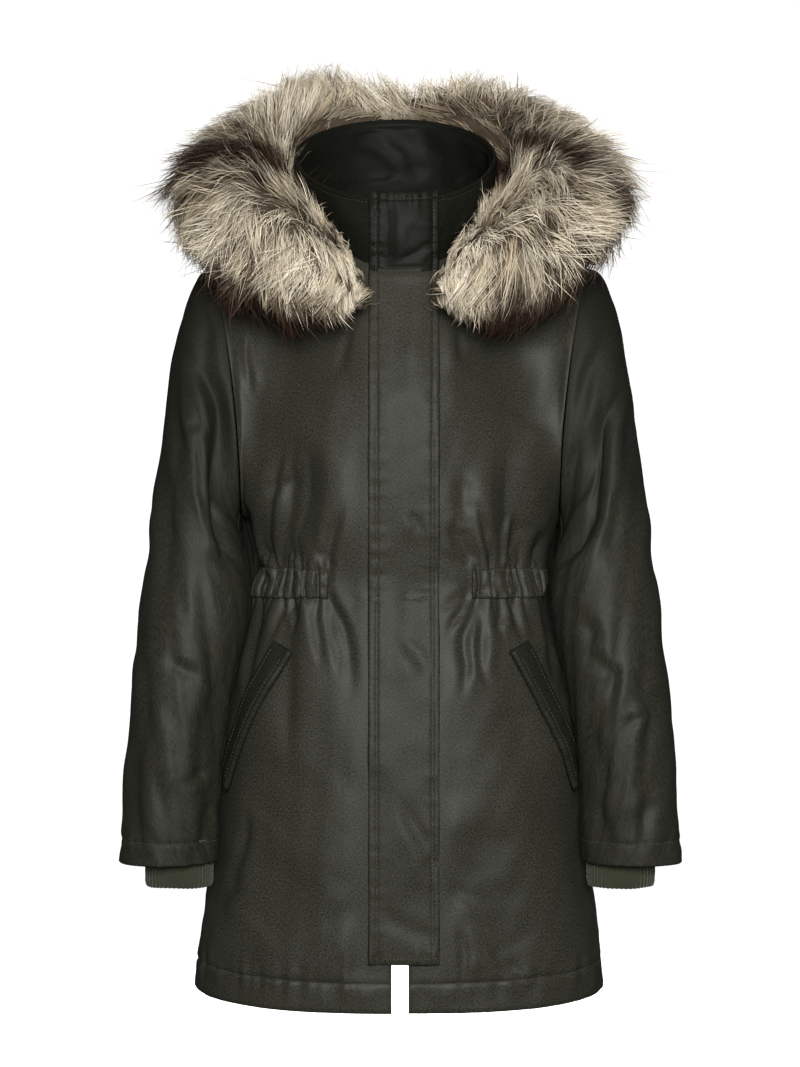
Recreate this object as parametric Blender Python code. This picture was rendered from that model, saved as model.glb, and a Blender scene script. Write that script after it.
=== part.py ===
"""Fur trimmed parka: a women's hooded winter coat, filled out as if worn, but hollow and empty.

Metres, +Z up. The front faces -Y and the wearer's left is +X. The origin lies between the two
neck ends of the shoulder seams, at the height where the wearer's shoulders carry the coat.
Every piece of cloth is a closed wall: a grid of outer points, and the same grid moved inwards by
the cloth's thickness along directions that neighbouring pieces share at their seams.
"""

from collections import namedtuple

import bmesh
import bpy
import numpy as np
from mathutils.bvhtree import BVHTree

# ---- Cloth, metres ----
WALL = 0.0025  # outer cloth with its light padding
LAYER = 0.0018  # placket, welts, channels and zip tape, which lie on a panel
SEAM_GAP = 0.0003  # between the edges of two sewn pieces
LAYER_GAP = 0.0006  # between a layer and the panel under it

# ---- Body ----
HEM_Z = -0.8155
UNDERARM_Z = -0.315
OPENING = 0.010  # half the width of the front opening under the placket
SQUARENESS = 2.4  # exponent of the superellipse sections
HEM_RISE = 0.007  # of the hem at the side seams over its centre
HEM_RISE_Z = -0.74  # above this height nothing rises

Section = namedtuple("Section", "z half_width front_depth back_depth")
BODY_SECTIONS = [
    Section(-0.8155, 0.2180, 0.140, 0.140),
    Section(-0.7750, 0.2135, 0.142, 0.139),
    Section(-0.7100, 0.2055, 0.144, 0.137),
    Section(-0.6600, 0.1970, 0.146, 0.136),
    Section(-0.6000, 0.1940, 0.147, 0.135),
    Section(-0.5300, 0.1885, 0.146, 0.131),
    Section(-0.4600, 0.1725, 0.140, 0.120),
    Section(-0.4150, 0.1610, 0.133, 0.108),
    Section(-0.3815, 0.1575, 0.129, 0.103),
    Section(-0.3500, 0.1600, 0.134, 0.106),
    Section(-0.3150, 0.1680, 0.141, 0.111),
]

# ---- Neck and shoulders ----
NECK_AXIS = np.array([0.0, -0.010, 0.0])  # where the neck's upright middle line stands
NECK_HALF_WIDTH = 0.088
NECK_POWER = 0.9  # below 1 the neckline's corners are fuller than an ellipse's
NECK_FRONT = (-0.105, -0.055)  # y and z of the neckline at the centre front
NECK_BACK = (0.075, 0.015)  # and at the centre back
SHOULDER_NECK = (0.005, 0.0)  # y and z where the shoulder seam starts
SHOULDER_TIP = (0.197, 0.003, -0.045)
CHEST_DEPTH = 0.143  # of the centre front and centre back lines, between underarm and neck
BLADE_DEPTH = 0.122
CHEST_LIFT = 0.45  # share of the way up the panel at which the centre line is that deep
NECK_TURN_LIFT = 0.80  # share at which it turns to the neckline
NECK_TURN = 0.55  # and how far it has turned there
ARMHOLE_REACH = 2.6  # how closely the armhole's curve stays at the panel's edge
DRAPE_BLEND = 1.45  # how late the chest's section turns into the neckline's and the shoulder's

# ---- Collar ----
RIM_HALF_WIDTH = 0.1075
RIM_SHIFT = -0.0055  # of the rim to the wearer's right
RIM_FRONT_Y = -0.113
RIM_BACK_Y = 0.090
RIM_CENTRE_Z = 0.0765
RIM_SLOPE = 0.563  # the rim's height gained for each metre backwards
COLLAR_BULGE = 0.006

# ---- Placket and zip ----
PLACKET_BOTTOM_Z = -0.765
PLACKET_EDGES = (-0.031, -0.0216, -OPENING, OPENING, 0.0333, 0.039)
PLACKET_GAP = 0.0016  # over the fronts and the collar
PLACKET_STAND = 0.005  # height above the collar's rim
PLACKET_FLATNESS = 0.5  # share of the fronts' sideways slope that the placket follows
ZIP_EDGES = (-0.015, 0.0, 0.015)
ZIP_GAP = 0.0009  # between the fronts' inner side and the zip tape
ZIP_END_GAP = 0.004  # by which the tape ends short of the placket

# ---- Sleeves ----
SleeveRing = namedtuple("SleeveRing", "along outer_x outer_z inner_x inner_z half_depth mid_y")
SLEEVE_RINGS = [
    SleeveRing(0.00, 0.1970, -0.0450, 0.1685, -0.3150, 0.088, 0.003),
    SleeveRing(0.05, 0.2140, -0.0540, 0.1690, -0.3190, 0.088, 0.002),
    SleeveRing(0.11, 0.2280, -0.0840, 0.1690, -0.3240, 0.087, -0.001),
    SleeveRing(0.19, 0.2405, -0.1400, 0.1685, -0.3320, 0.084, -0.007),
    SleeveRing(0.29, 0.2495, -0.2070, 0.1650, -0.3480, 0.079, -0.018),
    SleeveRing(0.41, 0.2600, -0.2950, 0.1585, -0.3780, 0.072, -0.037),
    SleeveRing(0.52, 0.2680, -0.3740, 0.1600, -0.4240, 0.065, -0.057),
    SleeveRing(0.64, 0.2765, -0.4620, 0.1735, -0.4880, 0.059, -0.072),
    SleeveRing(0.79, 0.2845, -0.5600, 0.1850, -0.5700, 0.054, -0.079),
    SleeveRing(0.94, 0.2886, -0.6420, 0.1880, -0.6430, 0.050, -0.080),
    SleeveRing(1.00, 0.2910, -0.6685, 0.1887, -0.6685, 0.048, -0.080),
]
SLEEVE_YAW = 14.0  # degrees by which the forearm's section turns in front of the body
YAW_START = 0.2  # share of the sleeve where the turn begins, and the share that it takes
YAW_SPAN = 0.3
ARMHOLE_SQUARENESS = 2.3  # exponent of the section at the armhole
SLEEVE_SQUARENESS = 2.05  # and of the sections below the upper arm
UPPER_ARM = 0.4  # share of the sleeve over which the one turns into the other
ARMHOLE_BOW = 0.009  # how far the armhole seam curves towards the neck, front and back
ARMHOLE_BOW_ENDS = 0.25  # share of the sleeve where that curve has faded
ARMHOLE_STEP = 0.00075  # by which the sleeve's first ring stands off the armhole
SLEEVE_COLUMNS = 18
FRONT_SLEEVE_SEAM = 8  # column numbers, counted from the top of the sleeve over its front
BACK_SLEEVE_SEAM = 11
SLEEVE_ROWS = 15
SLEEVE_ROW_POWER = 1.15  # above 1 the rows are closer together at the armhole

# ---- Rib cuffs ----
CUFF_HALF_WIDTH = 0.0353
CUFF_HALF_DEPTH = 0.0290
CUFF_CENTRE = (0.2290, -0.0795)  # x and y
CUFF_BOTTOM_Z = -0.6940
CUFF_BEND_Z = -0.6730
CUFF_TOP_Z = -0.6450
CUFF_TOP_ALONG = 0.955  # the sleeve's ring inside which the cuff ends
CUFF_GAP = 0.0014  # between the cuff's upper end and the sleeve's inner side
RIBS = 44
RIB_HEIGHT = 0.0011
CUFF_WALL = 0.0028

# ---- Waist channels: shares of the panel's width at both ends, and the number of gathers ----
CHANNEL_TOP_Z = -0.367
CHANNEL_BOTTOM_Z = -0.396
CHANNEL_MIDDLE_Z = (CHANNEL_TOP_Z + CHANNEL_BOTTOM_Z) / 2
CHANNEL_INSET = 0.0004  # of its long edges from those heights
GATHER_HEIGHT = 0.0022
GATHER_EDGE_SHARE = 0.6  # of that height at the long edges
Channel = namedtuple("Channel", "start end gathers")
FRONT_CHANNELS = {1: Channel(0.25, 0.80, 8), -1: Channel(0.25, 0.86, 10)}
BACK_CHANNEL = Channel(0.12, 0.88, 20)

# ---- Pocket welts: corners as share of the panel's width and height ----
WELT_TOP = (0.405, -0.4530, 0.520, -0.4410)
WELT_BOTTOM = (0.690, -0.5930, 0.800, -0.5810)
WELT_GAP = 0.0012
WELT_COLUMNS = 2
WELT_ROWS = 8

# ---- Fur trim ----
# out is the half width across the trim, up and down its height off and into the coat, and lean
# the angle, in degrees, at which it slopes down away from the neck.
FurStation = namedtuple("FurStation", "x y z out up down lean")
FUR_STATIONS = [
    FurStation(0.047, -0.150, -0.082, 0.022, 0.018, 0.030, 80),
    FurStation(0.062, -0.152, -0.074, 0.046, 0.036, 0.046, 78),
    FurStation(0.094, -0.150, -0.060, 0.066, 0.046, 0.060, 72),
    FurStation(0.132, -0.126, -0.036, 0.076, 0.052, 0.066, 60),
    FurStation(0.164, -0.085, -0.002, 0.080, 0.056, 0.062, 42),
    FurStation(0.182, -0.030, 0.030, 0.076, 0.060, 0.066, 26),
    FurStation(0.180, 0.035, 0.064, 0.070, 0.060, 0.056, 24),
    FurStation(0.150, 0.098, 0.096, 0.062, 0.064, 0.046, 30),
    FurStation(0.094, 0.150, 0.123, 0.056, 0.074, 0.048, 35),
    FurStation(0.000, 0.169, 0.119, 0.054, 0.070, 0.048, 35),
]
FUR_COLUMNS = 16
FUR_STEPS = 3  # rings between two stations
FUR_SECTION_POWER = 0.9  # below 1 the section is a little fuller than an ellipse
FUR_CLEARANCE = 0.0030  # over the coat under it
FUR_THINNEST = 0.004  # the least distance of the surface from the section's centre
FLATTEST = 0.6  # the smallest sine of the angle at which the fur meets a panel

# ---- Hood ----
HoodPoint = namedtuple("HoodPoint", "across down")
HOOD_PROFILE = [  # across 1 is the rim and 0 the neck seam; down is the share of the depth
    HoodPoint(1.00, 0.00),
    HoodPoint(1.30, 0.22),
    HoodPoint(1.42, 0.50),
    HoodPoint(1.36, 0.78),
    HoodPoint(1.14, 0.97),
    HoodPoint(0.88, 1.00),
    HoodPoint(0.70, 0.86),
    HoodPoint(0.60, 0.60),
    HoodPoint(0.42, 0.30),
    HoodPoint(0.00, 0.00),
]
HOOD_DEPTH = 0.200
HOOD_EDGE_DEPTH = 0.022
HOOD_HALF_ANGLE = 76.0  # degrees round the neck from the centre back
HOOD_RIM = (0.156, 0.166, 0.005)  # half width, half depth and middle y of the rim's ellipse
HOOD_DEPTH_POWER = 3.2  # how late the depth fades towards the shoulders
HOOD_NECK_SHARE = 0.70  # of the back neckline, which the hood's seam takes up
HOOD_NECK_OFF = 0.0014  # of that seam from the neckline, outwards and upwards
HOOD_NECK_LIFT = 0.003
HOOD_BACK_GAP = 0.004  # over the back and the collar
HOOD_BACK_REACH = 0.03  # the farthest that a point can be inside them
HOOD_RIM_GAP = 0.0012  # under the fur at the rim, and below it
HOOD_FUR_GAP = 0.006
HOOD_RAY_Z = -0.15  # a height below the fur
HOOD_COLUMNS = 18
HOOD_ROWS = 14
HOOD_SEAM_COLUMNS = (5, 13)

# ---- Folds, as lines on a panel: share of width and height at each end ----
Fold = namedtuple("Fold", "s_top z_top s_bottom z_bottom half_width height")
FRONT_FOLDS = {
    1: [
        Fold(0.24, -0.300, 0.25, -0.350, 0.050, -0.0035),
        Fold(0.33, -0.290, 0.35, -0.350, 0.045, -0.0045),
        Fold(0.43, -0.240, 0.46, -0.350, 0.060, -0.0050),
        Fold(0.58, -0.300, 0.58, -0.350, 0.050, 0.0035),
        Fold(0.72, -0.280, 0.72, -0.350, 0.055, -0.0040),
        Fold(0.24, -0.412, 0.23, -0.480, 0.050, -0.0040),
        Fold(0.33, -0.412, 0.31, -0.470, 0.045, -0.0035),
        Fold(0.44, -0.412, 0.42, -0.440, 0.050, -0.0035),
        Fold(0.68, -0.412, 0.62, -0.460, 0.060, 0.0035),
    ],
    -1: [
        Fold(0.20, -0.310, 0.22, -0.350, 0.050, -0.0035),
        Fold(0.33, -0.240, 0.31, -0.350, 0.050, -0.0045),
        Fold(0.50, -0.260, 0.42, -0.350, 0.050, -0.0045),
        Fold(0.64, -0.260, 0.62, -0.350, 0.050, -0.0040),
        Fold(0.84, -0.300, 0.80, -0.350, 0.050, -0.0035),
        Fold(0.17, -0.500, 0.25, -0.412, 0.050, -0.0045),
        Fold(0.33, -0.412, 0.32, -0.457, 0.045, -0.0040),
        Fold(0.47, -0.412, 0.48, -0.425, 0.050, -0.0035),
        Fold(0.66, -0.412, 0.56, -0.450, 0.060, -0.0030),
    ],
}
BACK_FOLDS = [
    Fold(0.30, -0.260, 0.32, -0.350, 0.060, -0.0040),
    Fold(0.44, -0.290, 0.43, -0.350, 0.050, -0.0035),
    Fold(0.57, -0.270, 0.58, -0.350, 0.050, -0.0040),
    Fold(0.72, -0.250, 0.69, -0.350, 0.060, -0.0040),
    Fold(0.28, -0.412, 0.26, -0.470, 0.060, -0.0040),
    Fold(0.45, -0.412, 0.46, -0.450, 0.050, -0.0035),
    Fold(0.60, -0.412, 0.62, -0.480, 0.060, -0.0040),
    Fold(0.74, -0.412, 0.77, -0.460, 0.050, -0.0035),
]
# On a sleeve the width runs round it from its top over the front, and z is the ring's share.
SLEEVE_FOLDS = {
    1: [
        Fold(0.155, 0.24, 0.290, 0.44, 0.050, -0.0070),
        Fold(0.120, 0.20, 0.190, 0.42, 0.060, 0.0050),
        Fold(0.330, 0.50, 0.200, 0.60, 0.050, -0.0035),
        Fold(0.130, 0.76, 0.260, 0.82, 0.050, -0.0035),
        Fold(0.760, 0.24, 0.640, 0.44, 0.060, -0.0060),
        Fold(0.820, 0.55, 0.700, 0.63, 0.060, -0.0035),
    ],
    -1: [
        Fold(0.190, 0.21, 0.310, 0.45, 0.050, -0.0070),
        Fold(0.120, 0.22, 0.210, 0.42, 0.060, 0.0050),
        Fold(0.340, 0.55, 0.220, 0.64, 0.050, -0.0035),
        Fold(0.150, 0.80, 0.290, 0.75, 0.050, -0.0035),
        Fold(0.750, 0.22, 0.650, 0.43, 0.060, -0.0060),
        Fold(0.800, 0.60, 0.690, 0.67, 0.060, -0.0035),
    ],
}

FRONT_FOLD_SCALE = 6.0  # widths of a front in a metre of its height, and so on
BACK_FOLD_SCALE = 4.0
SLEEVE_FOLD_SCALE = 0.9
FOLD_END = 0.15  # share of a fold's length over which it fades at each end
FOLD_END_SHARE = 0.35  # of its height, which the ends keep
PANEL_EDGE_FADE = 0.08  # share of a panel's width over which folds fade at its side edges
ARMHOLE_FADE = 0.12  # share of a sleeve over which its folds fade at the armhole, and at the hem
SLEEVE_HEM_FADE = 0.10

# ---- Grid of the body panels ----
LOWER_ROWS = np.array(
    [HEM_Z, -0.800, -0.786, PLACKET_BOTTOM_Z, -0.722, -0.672, -0.625, -0.580, -0.535, -0.495]
    + [-0.460, -0.428, CHANNEL_BOTTOM_Z, CHANNEL_MIDDLE_Z, CHANNEL_TOP_Z, -0.345, UNDERARM_Z]
)
UPPER_ROWS = SLEEVE_COLUMNS // 2  # so that each armhole point has its point on the sleeve
FRONT_COLUMNS = 18
BACK_COLUMNS = 10  # of half the back
NECK_COLUMNS = {"front": 7, "back": 5}  # columns that end at the neckline, not the shoulder
COLLAR_ROWS = 5

SIDES = {"left": 1, "right": -1}

Finish = namedtuple("Finish", "colour roughness")
FINISHES = {
    "shell_fabric": Finish((0.034, 0.036, 0.027), 0.55),
    "rib_knit": Finish((0.040, 0.042, 0.026), 0.90),
    "faux_fur": Finish((0.420, 0.370, 0.290), 0.95),
    "zip": Finish((0.020, 0.020, 0.018), 0.50),
}


# ================================ Small mathematics ================================
def column(table, name):
    """One named column of a table of rows."""
    return np.array([getattr(row, name) for row in table], float)


def smooth(at, stations, values):
    """Cubic curve through values at stations, with the mean slope of the neighbours at each."""
    stations = np.asarray(stations, float)
    values = np.asarray(values, float)
    slopes = np.gradient(values, stations, axis=0)
    at = np.clip(np.asarray(at, float), stations[0], stations[-1])
    k = np.clip(np.searchsorted(stations, at, side="right") - 1, 0, len(stations) - 2)
    step = stations[k + 1] - stations[k]
    t = (at - stations[k]) / step
    start = (2 * t**3 - 3 * t**2 + 1) * values[k] + (t**3 - 2 * t**2 + t) * step * slopes[k]
    end = (3 * t**2 - 2 * t**3) * values[k + 1] + (t**3 - t**2) * step * slopes[k + 1]
    return start + end


def unit(vectors):
    """The vectors, each divided by its length."""
    return vectors / np.maximum(np.linalg.norm(vectors, axis=-1, keepdims=True), 1e-12)


def signed_power(value, power):
    """Sign of the value times the power of its size: it turns an ellipse into a superellipse."""
    return np.sign(value) * np.abs(value) ** power


def stack(x, y, z):
    """Three arrays as the x, y and z of points."""
    return np.stack(np.broadcast_arrays(x, y, z), axis=-1)


def directions(points, outside, ring=False):
    """Unit normals of a grid of points, on the side of the point or points named outside.

    They are the cross product of the differences along and across the grid; ring says that the
    columns go all the way round.
    """
    if ring:
        across = np.roll(points, -1, axis=1) - np.roll(points, 1, axis=1)
    else:
        across = np.gradient(points, axis=1)
    normals = unit(np.cross(across, np.gradient(points, axis=0)))
    facing = np.sum(normals * (points - outside), axis=-1).mean()
    return normals if facing > 0 else -normals


def share_edge(first, second):
    """Gives both panels the mean direction along a seam, so that their walls stay apart."""
    mean = unit(first + second)
    first[...] = mean
    second[...] = mean


def trimmed(points, rows=(0, 0), columns=(0, 0), gap=SEAM_GAP / 2):
    """The grid with half a seam's gap taken off the edges marked 1: first and last rows, columns."""
    out = points.copy()
    if rows[0]:
        out[0] += gap * unit(points[1] - points[0])
    if rows[1]:
        out[-1] += gap * unit(points[-2] - points[-1])
    if columns[0]:
        out[:, 0] += gap * unit(points[:, 1] - points[:, 0])
    if columns[1]:
        out[:, -1] += gap * unit(points[:, -2] - points[:, -1])
    return out


def fold_height(s, z, folds, z_scale):
    """Sum of the folds' heights: each is a bell across its line, fading softly at both ends."""
    total = np.zeros(np.broadcast(s, z).shape)
    for fold in folds:
        ds = fold.s_bottom - fold.s_top
        dz = (fold.z_bottom - fold.z_top) * z_scale
        length = ds**2 + dz**2
        along = ((s - fold.s_top) * ds + (z - fold.z_top) * z_scale * dz) / length
        near = np.clip(along, 0.0, 1.0)
        off_s = s - fold.s_top - near * ds
        off_z = (z - fold.z_top) * z_scale - near * dz
        bell = np.exp(-(off_s**2 + off_z**2) / fold.half_width**2)
        middle = np.sin(np.pi * np.clip(along, FOLD_END, 1 - FOLD_END))
        total = total + fold.height * bell * (FOLD_END_SHARE + (1 - FOLD_END_SHARE) * middle)
    return total


# ================================ Surfaces ================================
def body_point(turn, z):
    """A point of the body below the arms.

    turn is 0 at the centre front, a quarter turn at the side seam and half a turn at the centre
    back; the section is a superellipse whose front and back halves have their own depths.
    """
    heights = column(BODY_SECTIONS, "z")
    half_width = smooth(z, heights, column(BODY_SECTIONS, "half_width"))
    front = smooth(z, heights, column(BODY_SECTIONS, "front_depth"))
    back = smooth(z, heights, column(BODY_SECTIONS, "back_depth"))
    depth = np.where(np.cos(turn) >= 0, front, back)
    x = half_width * signed_power(np.sin(turn), 2 / SQUARENESS)
    low = np.clip((HEM_RISE_Z - z) / (HEM_RISE_Z - HEM_Z), 0, 1)
    z = z + HEM_RISE * np.abs(np.sin(turn)) ** 3 * low
    y = -depth * signed_power(np.cos(turn), 2 / SQUARENESS)
    return stack(x, y, z)


def sleeve_point(angle, along):
    """A point of the sleeve on the wearer's left.

    angle runs from the outer, or top, line (0) over the front (a quarter turn) to the inner line
    (half a turn); along runs from the armhole (0) to the hem (1). At the armhole the ring is the
    armhole seam, which curves in towards the neck.
    """
    stations = column(SLEEVE_RINGS, "along")
    outer_x, outer_z, inner_x, inner_z, half_depth, mid_y = (
        smooth(along, stations, column(SLEEVE_RINGS, name)) for name in SleeveRing._fields[1:]
    )
    rounder = np.clip(along / UPPER_ARM, 0, 1)
    power = 2 / (ARMHOLE_SQUARENESS + (SLEEVE_SQUARENESS - ARMHOLE_SQUARENESS) * rounder)
    out = signed_power(np.cos(angle), power)
    front = signed_power(np.sin(angle), power)
    bow = ARMHOLE_BOW * np.clip(1 - along / ARMHOLE_BOW_ENDS, 0, 1) ** 2 * np.sin(angle) ** 2
    across = out * (outer_x - inner_x) / 2
    yaw = np.radians(SLEEVE_YAW) * np.clip((along - YAW_START) / YAW_SPAN, 0, 1)
    x = (outer_x + inner_x) / 2 + across * np.cos(yaw) - front * half_depth * np.sin(yaw) - bow
    y = mid_y - front * half_depth * np.cos(yaw) - across * np.sin(yaw)
    z = (outer_z + inner_z) / 2 + out * (outer_z - inner_z) / 2
    return stack(x, y, z)


def neck_point(share, front):
    """The neckline from the centre (share 0) to the shoulder seam (1), for the front or back."""
    y_centre, z_centre = NECK_FRONT if front else NECK_BACK
    start = OPENING if front else 0.0
    turn = share * np.pi / 2
    x = start + (NECK_HALF_WIDTH - start) * np.sin(turn) ** NECK_POWER
    y = SHOULDER_NECK[0] + (y_centre - SHOULDER_NECK[0]) * np.cos(turn) ** NECK_POWER
    z = z_centre + (SHOULDER_NECK[1] - z_centre) * np.sin(turn) ** 2
    return stack(x, y, z)


def top_edge(columns, neck_columns, front):
    """The panel's upper edge: the neckline and then the shoulder seam."""
    neck = neck_point(np.linspace(0, 1, neck_columns + 1), front)
    tip = np.array(SHOULDER_TIP)
    steps = np.linspace(0, 1, columns - neck_columns + 1)[1:, None]
    return np.concatenate([neck, neck[-1] + steps * (tip - neck[-1])])


def centre_edge(t, front):
    """The centre line of a panel from the underarm's height to the neckline."""
    chest = body_point(0.0 if front else np.pi, UNDERARM_Z)
    y_top, z_top = NECK_FRONT if front else NECK_BACK
    middle = -CHEST_DEPTH if front else BLADE_DEPTH
    turned = (1 - NECK_TURN) * middle + NECK_TURN * y_top
    y = smooth(t, [0.0, CHEST_LIFT, NECK_TURN_LIFT, 1.0], [chest[1], middle, turned, y_top])
    z = UNDERARM_Z + t * (z_top - UNDERARM_Z)
    return stack(OPENING if front else 0.0, y, z)


def upper_panel(columns, neck_columns, front):
    """A panel above the underarm: a patch between its four edges.

    It blends the chest's section into the neckline and shoulder, and the centre line into the
    armhole. Weight t**DRAPE_BLEND keeps it upright over the chest and turns it late.
    """
    t = np.linspace(0, 1, UPPER_ROWS + 1)[:, None, None]
    s = np.linspace(0, 1, columns + 1)[None, :, None]
    late = t**DRAPE_BLEND
    quarter = opening_turn(UNDERARM_Z) if front else 0.0
    turns = quarter + (np.pi / 2 - quarter) * s[0, :, 0]
    chest = body_point(turns if front else np.pi - turns, UNDERARM_Z)[None]
    top = top_edge(columns, neck_columns, front)[None]
    centre = centre_edge(t[:, 0, 0], front)[:, None]
    angle = np.pi * (1 - t[:, 0, 0]) if front else np.pi * (1 + t[:, 0, 0])
    arm = sleeve_point(angle, 0.0)[:, None]
    straight = arm[:1] + t * (arm[-1:] - arm[:1])
    corners = (1 - late) * ((1 - s) * chest[:, :1] + s * arm[:1])
    corners = corners + late * ((1 - s) * top[:, :1] + s * top[:, -1:])
    arm_side = s * straight + s**ARMHOLE_REACH * (arm - straight)
    return (1 - late) * chest + late * top + (1 - s) * centre + arm_side - corners


def opening_turn(z):
    """The turn at which the front's edge lies, half the opening from the centre."""
    half_width = smooth(z, column(BODY_SECTIONS, "z"), column(BODY_SECTIONS, "half_width"))
    return np.arcsin((OPENING / half_width) ** (SQUARENESS / 2))


def lower_panel(columns, front):
    """A panel below the underarm: a loft through the body's sections."""
    z = LOWER_ROWS[:-1, None]
    start = opening_turn(z) if front else 0.0
    turns = start + (np.pi / 2 - start) * np.linspace(0, 1, columns + 1)[None]
    return body_point(turns if front else np.pi - turns, z + 0 * turns)


def mirrored(points, side):
    """The points on the wearer's left (side 1) or right (side -1)."""
    return points * np.array([side, 1, 1])


# ================================ Objects ================================
def remove_everything():
    """Clears the scene of objects."""
    for obj in list(bpy.data.objects):
        bpy.data.objects.remove(obj, do_unlink=True)


def collection(name):
    """A new collection in the scene."""
    made = bpy.data.collections.new(name)
    bpy.context.scene.collection.children.link(made)
    return made


def material(name, slot):
    """A piece's own material, in the finish of its slot."""
    made = bpy.data.materials.new(name)
    made.use_nodes = True
    shader = made.node_tree.nodes["Principled BSDF"]
    shader.inputs["Base Color"].default_value = (*FINISHES[slot].colour, 1.0)
    shader.inputs["Roughness"].default_value = FINISHES[slot].roughness
    shader.inputs["Metallic"].default_value = 0.0
    return made


def add_mesh(name, points, faces, slot, home):
    """A mesh object whose faces point outwards."""
    mesh = bpy.data.meshes.new(name)
    mesh.from_pydata(points.tolist(), [], faces)
    work = bmesh.new()
    work.from_mesh(mesh)
    bmesh.ops.recalc_face_normals(work, faces=work.faces)
    work.to_mesh(mesh)
    work.free()
    mesh.shade_smooth()
    mesh.materials.append(material(name, slot))
    home.objects.link(bpy.data.objects.new(name, mesh))


def grid_faces(rows, columns, ring, first=0):
    """The quads of a grid whose points are numbered from first, row by row."""
    faces = []
    for row in range(rows - 1):
        for col in range(columns if ring else columns - 1):
            after = (col + 1) % columns
            low, high = first + row * columns, first + (row + 1) * columns
            faces.append((low + col, low + after, high + after, high + col))
    return faces


def cloth_wall(name, outer, inner, slot, home, ring=False):
    """A closed wall between two grids of the same size; ring joins their last column to the first."""
    rows, columns = outer.shape[:2]
    count = rows * columns
    faces = grid_faces(rows, columns, ring) + grid_faces(rows, columns, ring, count)
    border = [[row * columns + col for col in range(columns)] for row in (0, rows - 1)]
    if ring:
        border = [edge + edge[:1] for edge in border]
    else:
        border += [[row * columns + col for row in range(rows)] for col in (0, columns - 1)]
    for edge in border:
        for a, b in zip(edge, edge[1:]):
            faces.append((a, b, b + count, a + count))
    points = np.concatenate([outer.reshape(-1, 3), inner.reshape(-1, 3)])
    add_mesh(name, points, faces, slot, home)


def skin(points, ring=False):
    """A search tree over a grid's outer points, for keeping other pieces clear of it."""
    rows, columns = points.shape[:2]
    return BVHTree.FromPolygons(points.reshape(-1, 3).tolist(), grid_faces(rows, columns, ring))


def pushed_out(points, panels, clearance):
    """The points, moved off each panel's outer side until they are clear of it."""
    out = points.reshape(-1, 3).copy()
    for grid, normals in panels:
        tree = skin(grid)
        flat = normals[:-1, :-1].reshape(-1, 3)
        for number, point in enumerate(out):
            near, _, face, distance = tree.find_nearest(point.tolist())
            height = float(np.dot(point - np.array(near), flat[face]))
            if distance < HOOD_BACK_REACH and height < clearance:
                out[number] = np.array(near) + clearance * flat[face]
    return out.reshape(points.shape)


def stopped_short(rings, centres, panels, clearance):
    """The rings, whose points go out from their centres only until they are clear of a panel."""
    out = rings.copy()
    trees = [skin(grid, ring) for grid, ring in panels]
    for row, centre in enumerate(centres):
        for col, point in enumerate(rings[row]):
            length = float(np.linalg.norm(point - centre))
            along = (point - centre) / length
            for tree in trees:
                _, normal, _, distance = tree.ray_cast(centre.tolist(), along.tolist())
                if distance is None:
                    continue
                slope = max(abs(float(np.dot(along, normal))), FLATTEST)
                length = min(length, distance - clearance / slope)
            out[row, col] = centre + max(length, FUR_THINNEST) * along
    return out


# ================================ Pieces ================================
def sleeve_surface():
    """Points and outward directions of the sleeve on the wearer's left, without folds."""
    angle = np.linspace(0, 2 * np.pi, SLEEVE_COLUMNS + 1)[None, :-1]
    along = np.linspace(0, 1, SLEEVE_ROWS + 1)[:, None] ** SLEEVE_ROW_POWER
    points = sleeve_point(angle + 0 * along, along + 0 * angle)
    return points, directions(points, points.mean(axis=1, keepdims=True), ring=True), angle, along


def share_seams(front, back, sleeve):
    """Shares the directions at the side seam, the armhole and the shoulder of one side."""
    chest = len(LOWER_ROWS) - 1
    share_edge(front[: chest + 1, -1], back[: chest + 1, -1])
    share_edge(front[chest:, -1], sleeve[0, UPPER_ROWS::-1])
    round_back = np.arange(UPPER_ROWS, 2 * UPPER_ROWS + 1) % SLEEVE_COLUMNS
    mean = unit(back[chest:, -1] + sleeve[0, round_back])
    back[chest:, -1] = mean
    sleeve[0, round_back] = mean
    front[chest, -1] = mean[0]
    front[-1, -1] = mean[-1]
    neck_front, neck_back = NECK_COLUMNS["front"], BACK_COLUMNS + NECK_COLUMNS["back"]
    neck = unit(front[-1, neck_front] + back[-1, neck_back])
    for normals, start in ((front, neck_front), (back, neck_back)):
        share = np.linspace(0, 1, normals.shape[1] - start)[:, None]
        normals[-1, start:] = unit((1 - share) * neck + share * mean[-1])


def folded(points, normals, folds, z_scale):
    """The panel with its folds, which fade out at its side edges."""
    s = np.linspace(0, 1, points.shape[1])[None]
    fade = np.clip(np.minimum(s, 1 - s) / PANEL_EDGE_FADE, 0, 1)
    height = fold_height(s, points[..., 2], folds, z_scale) * fade
    return points + height[..., None] * normals


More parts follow.
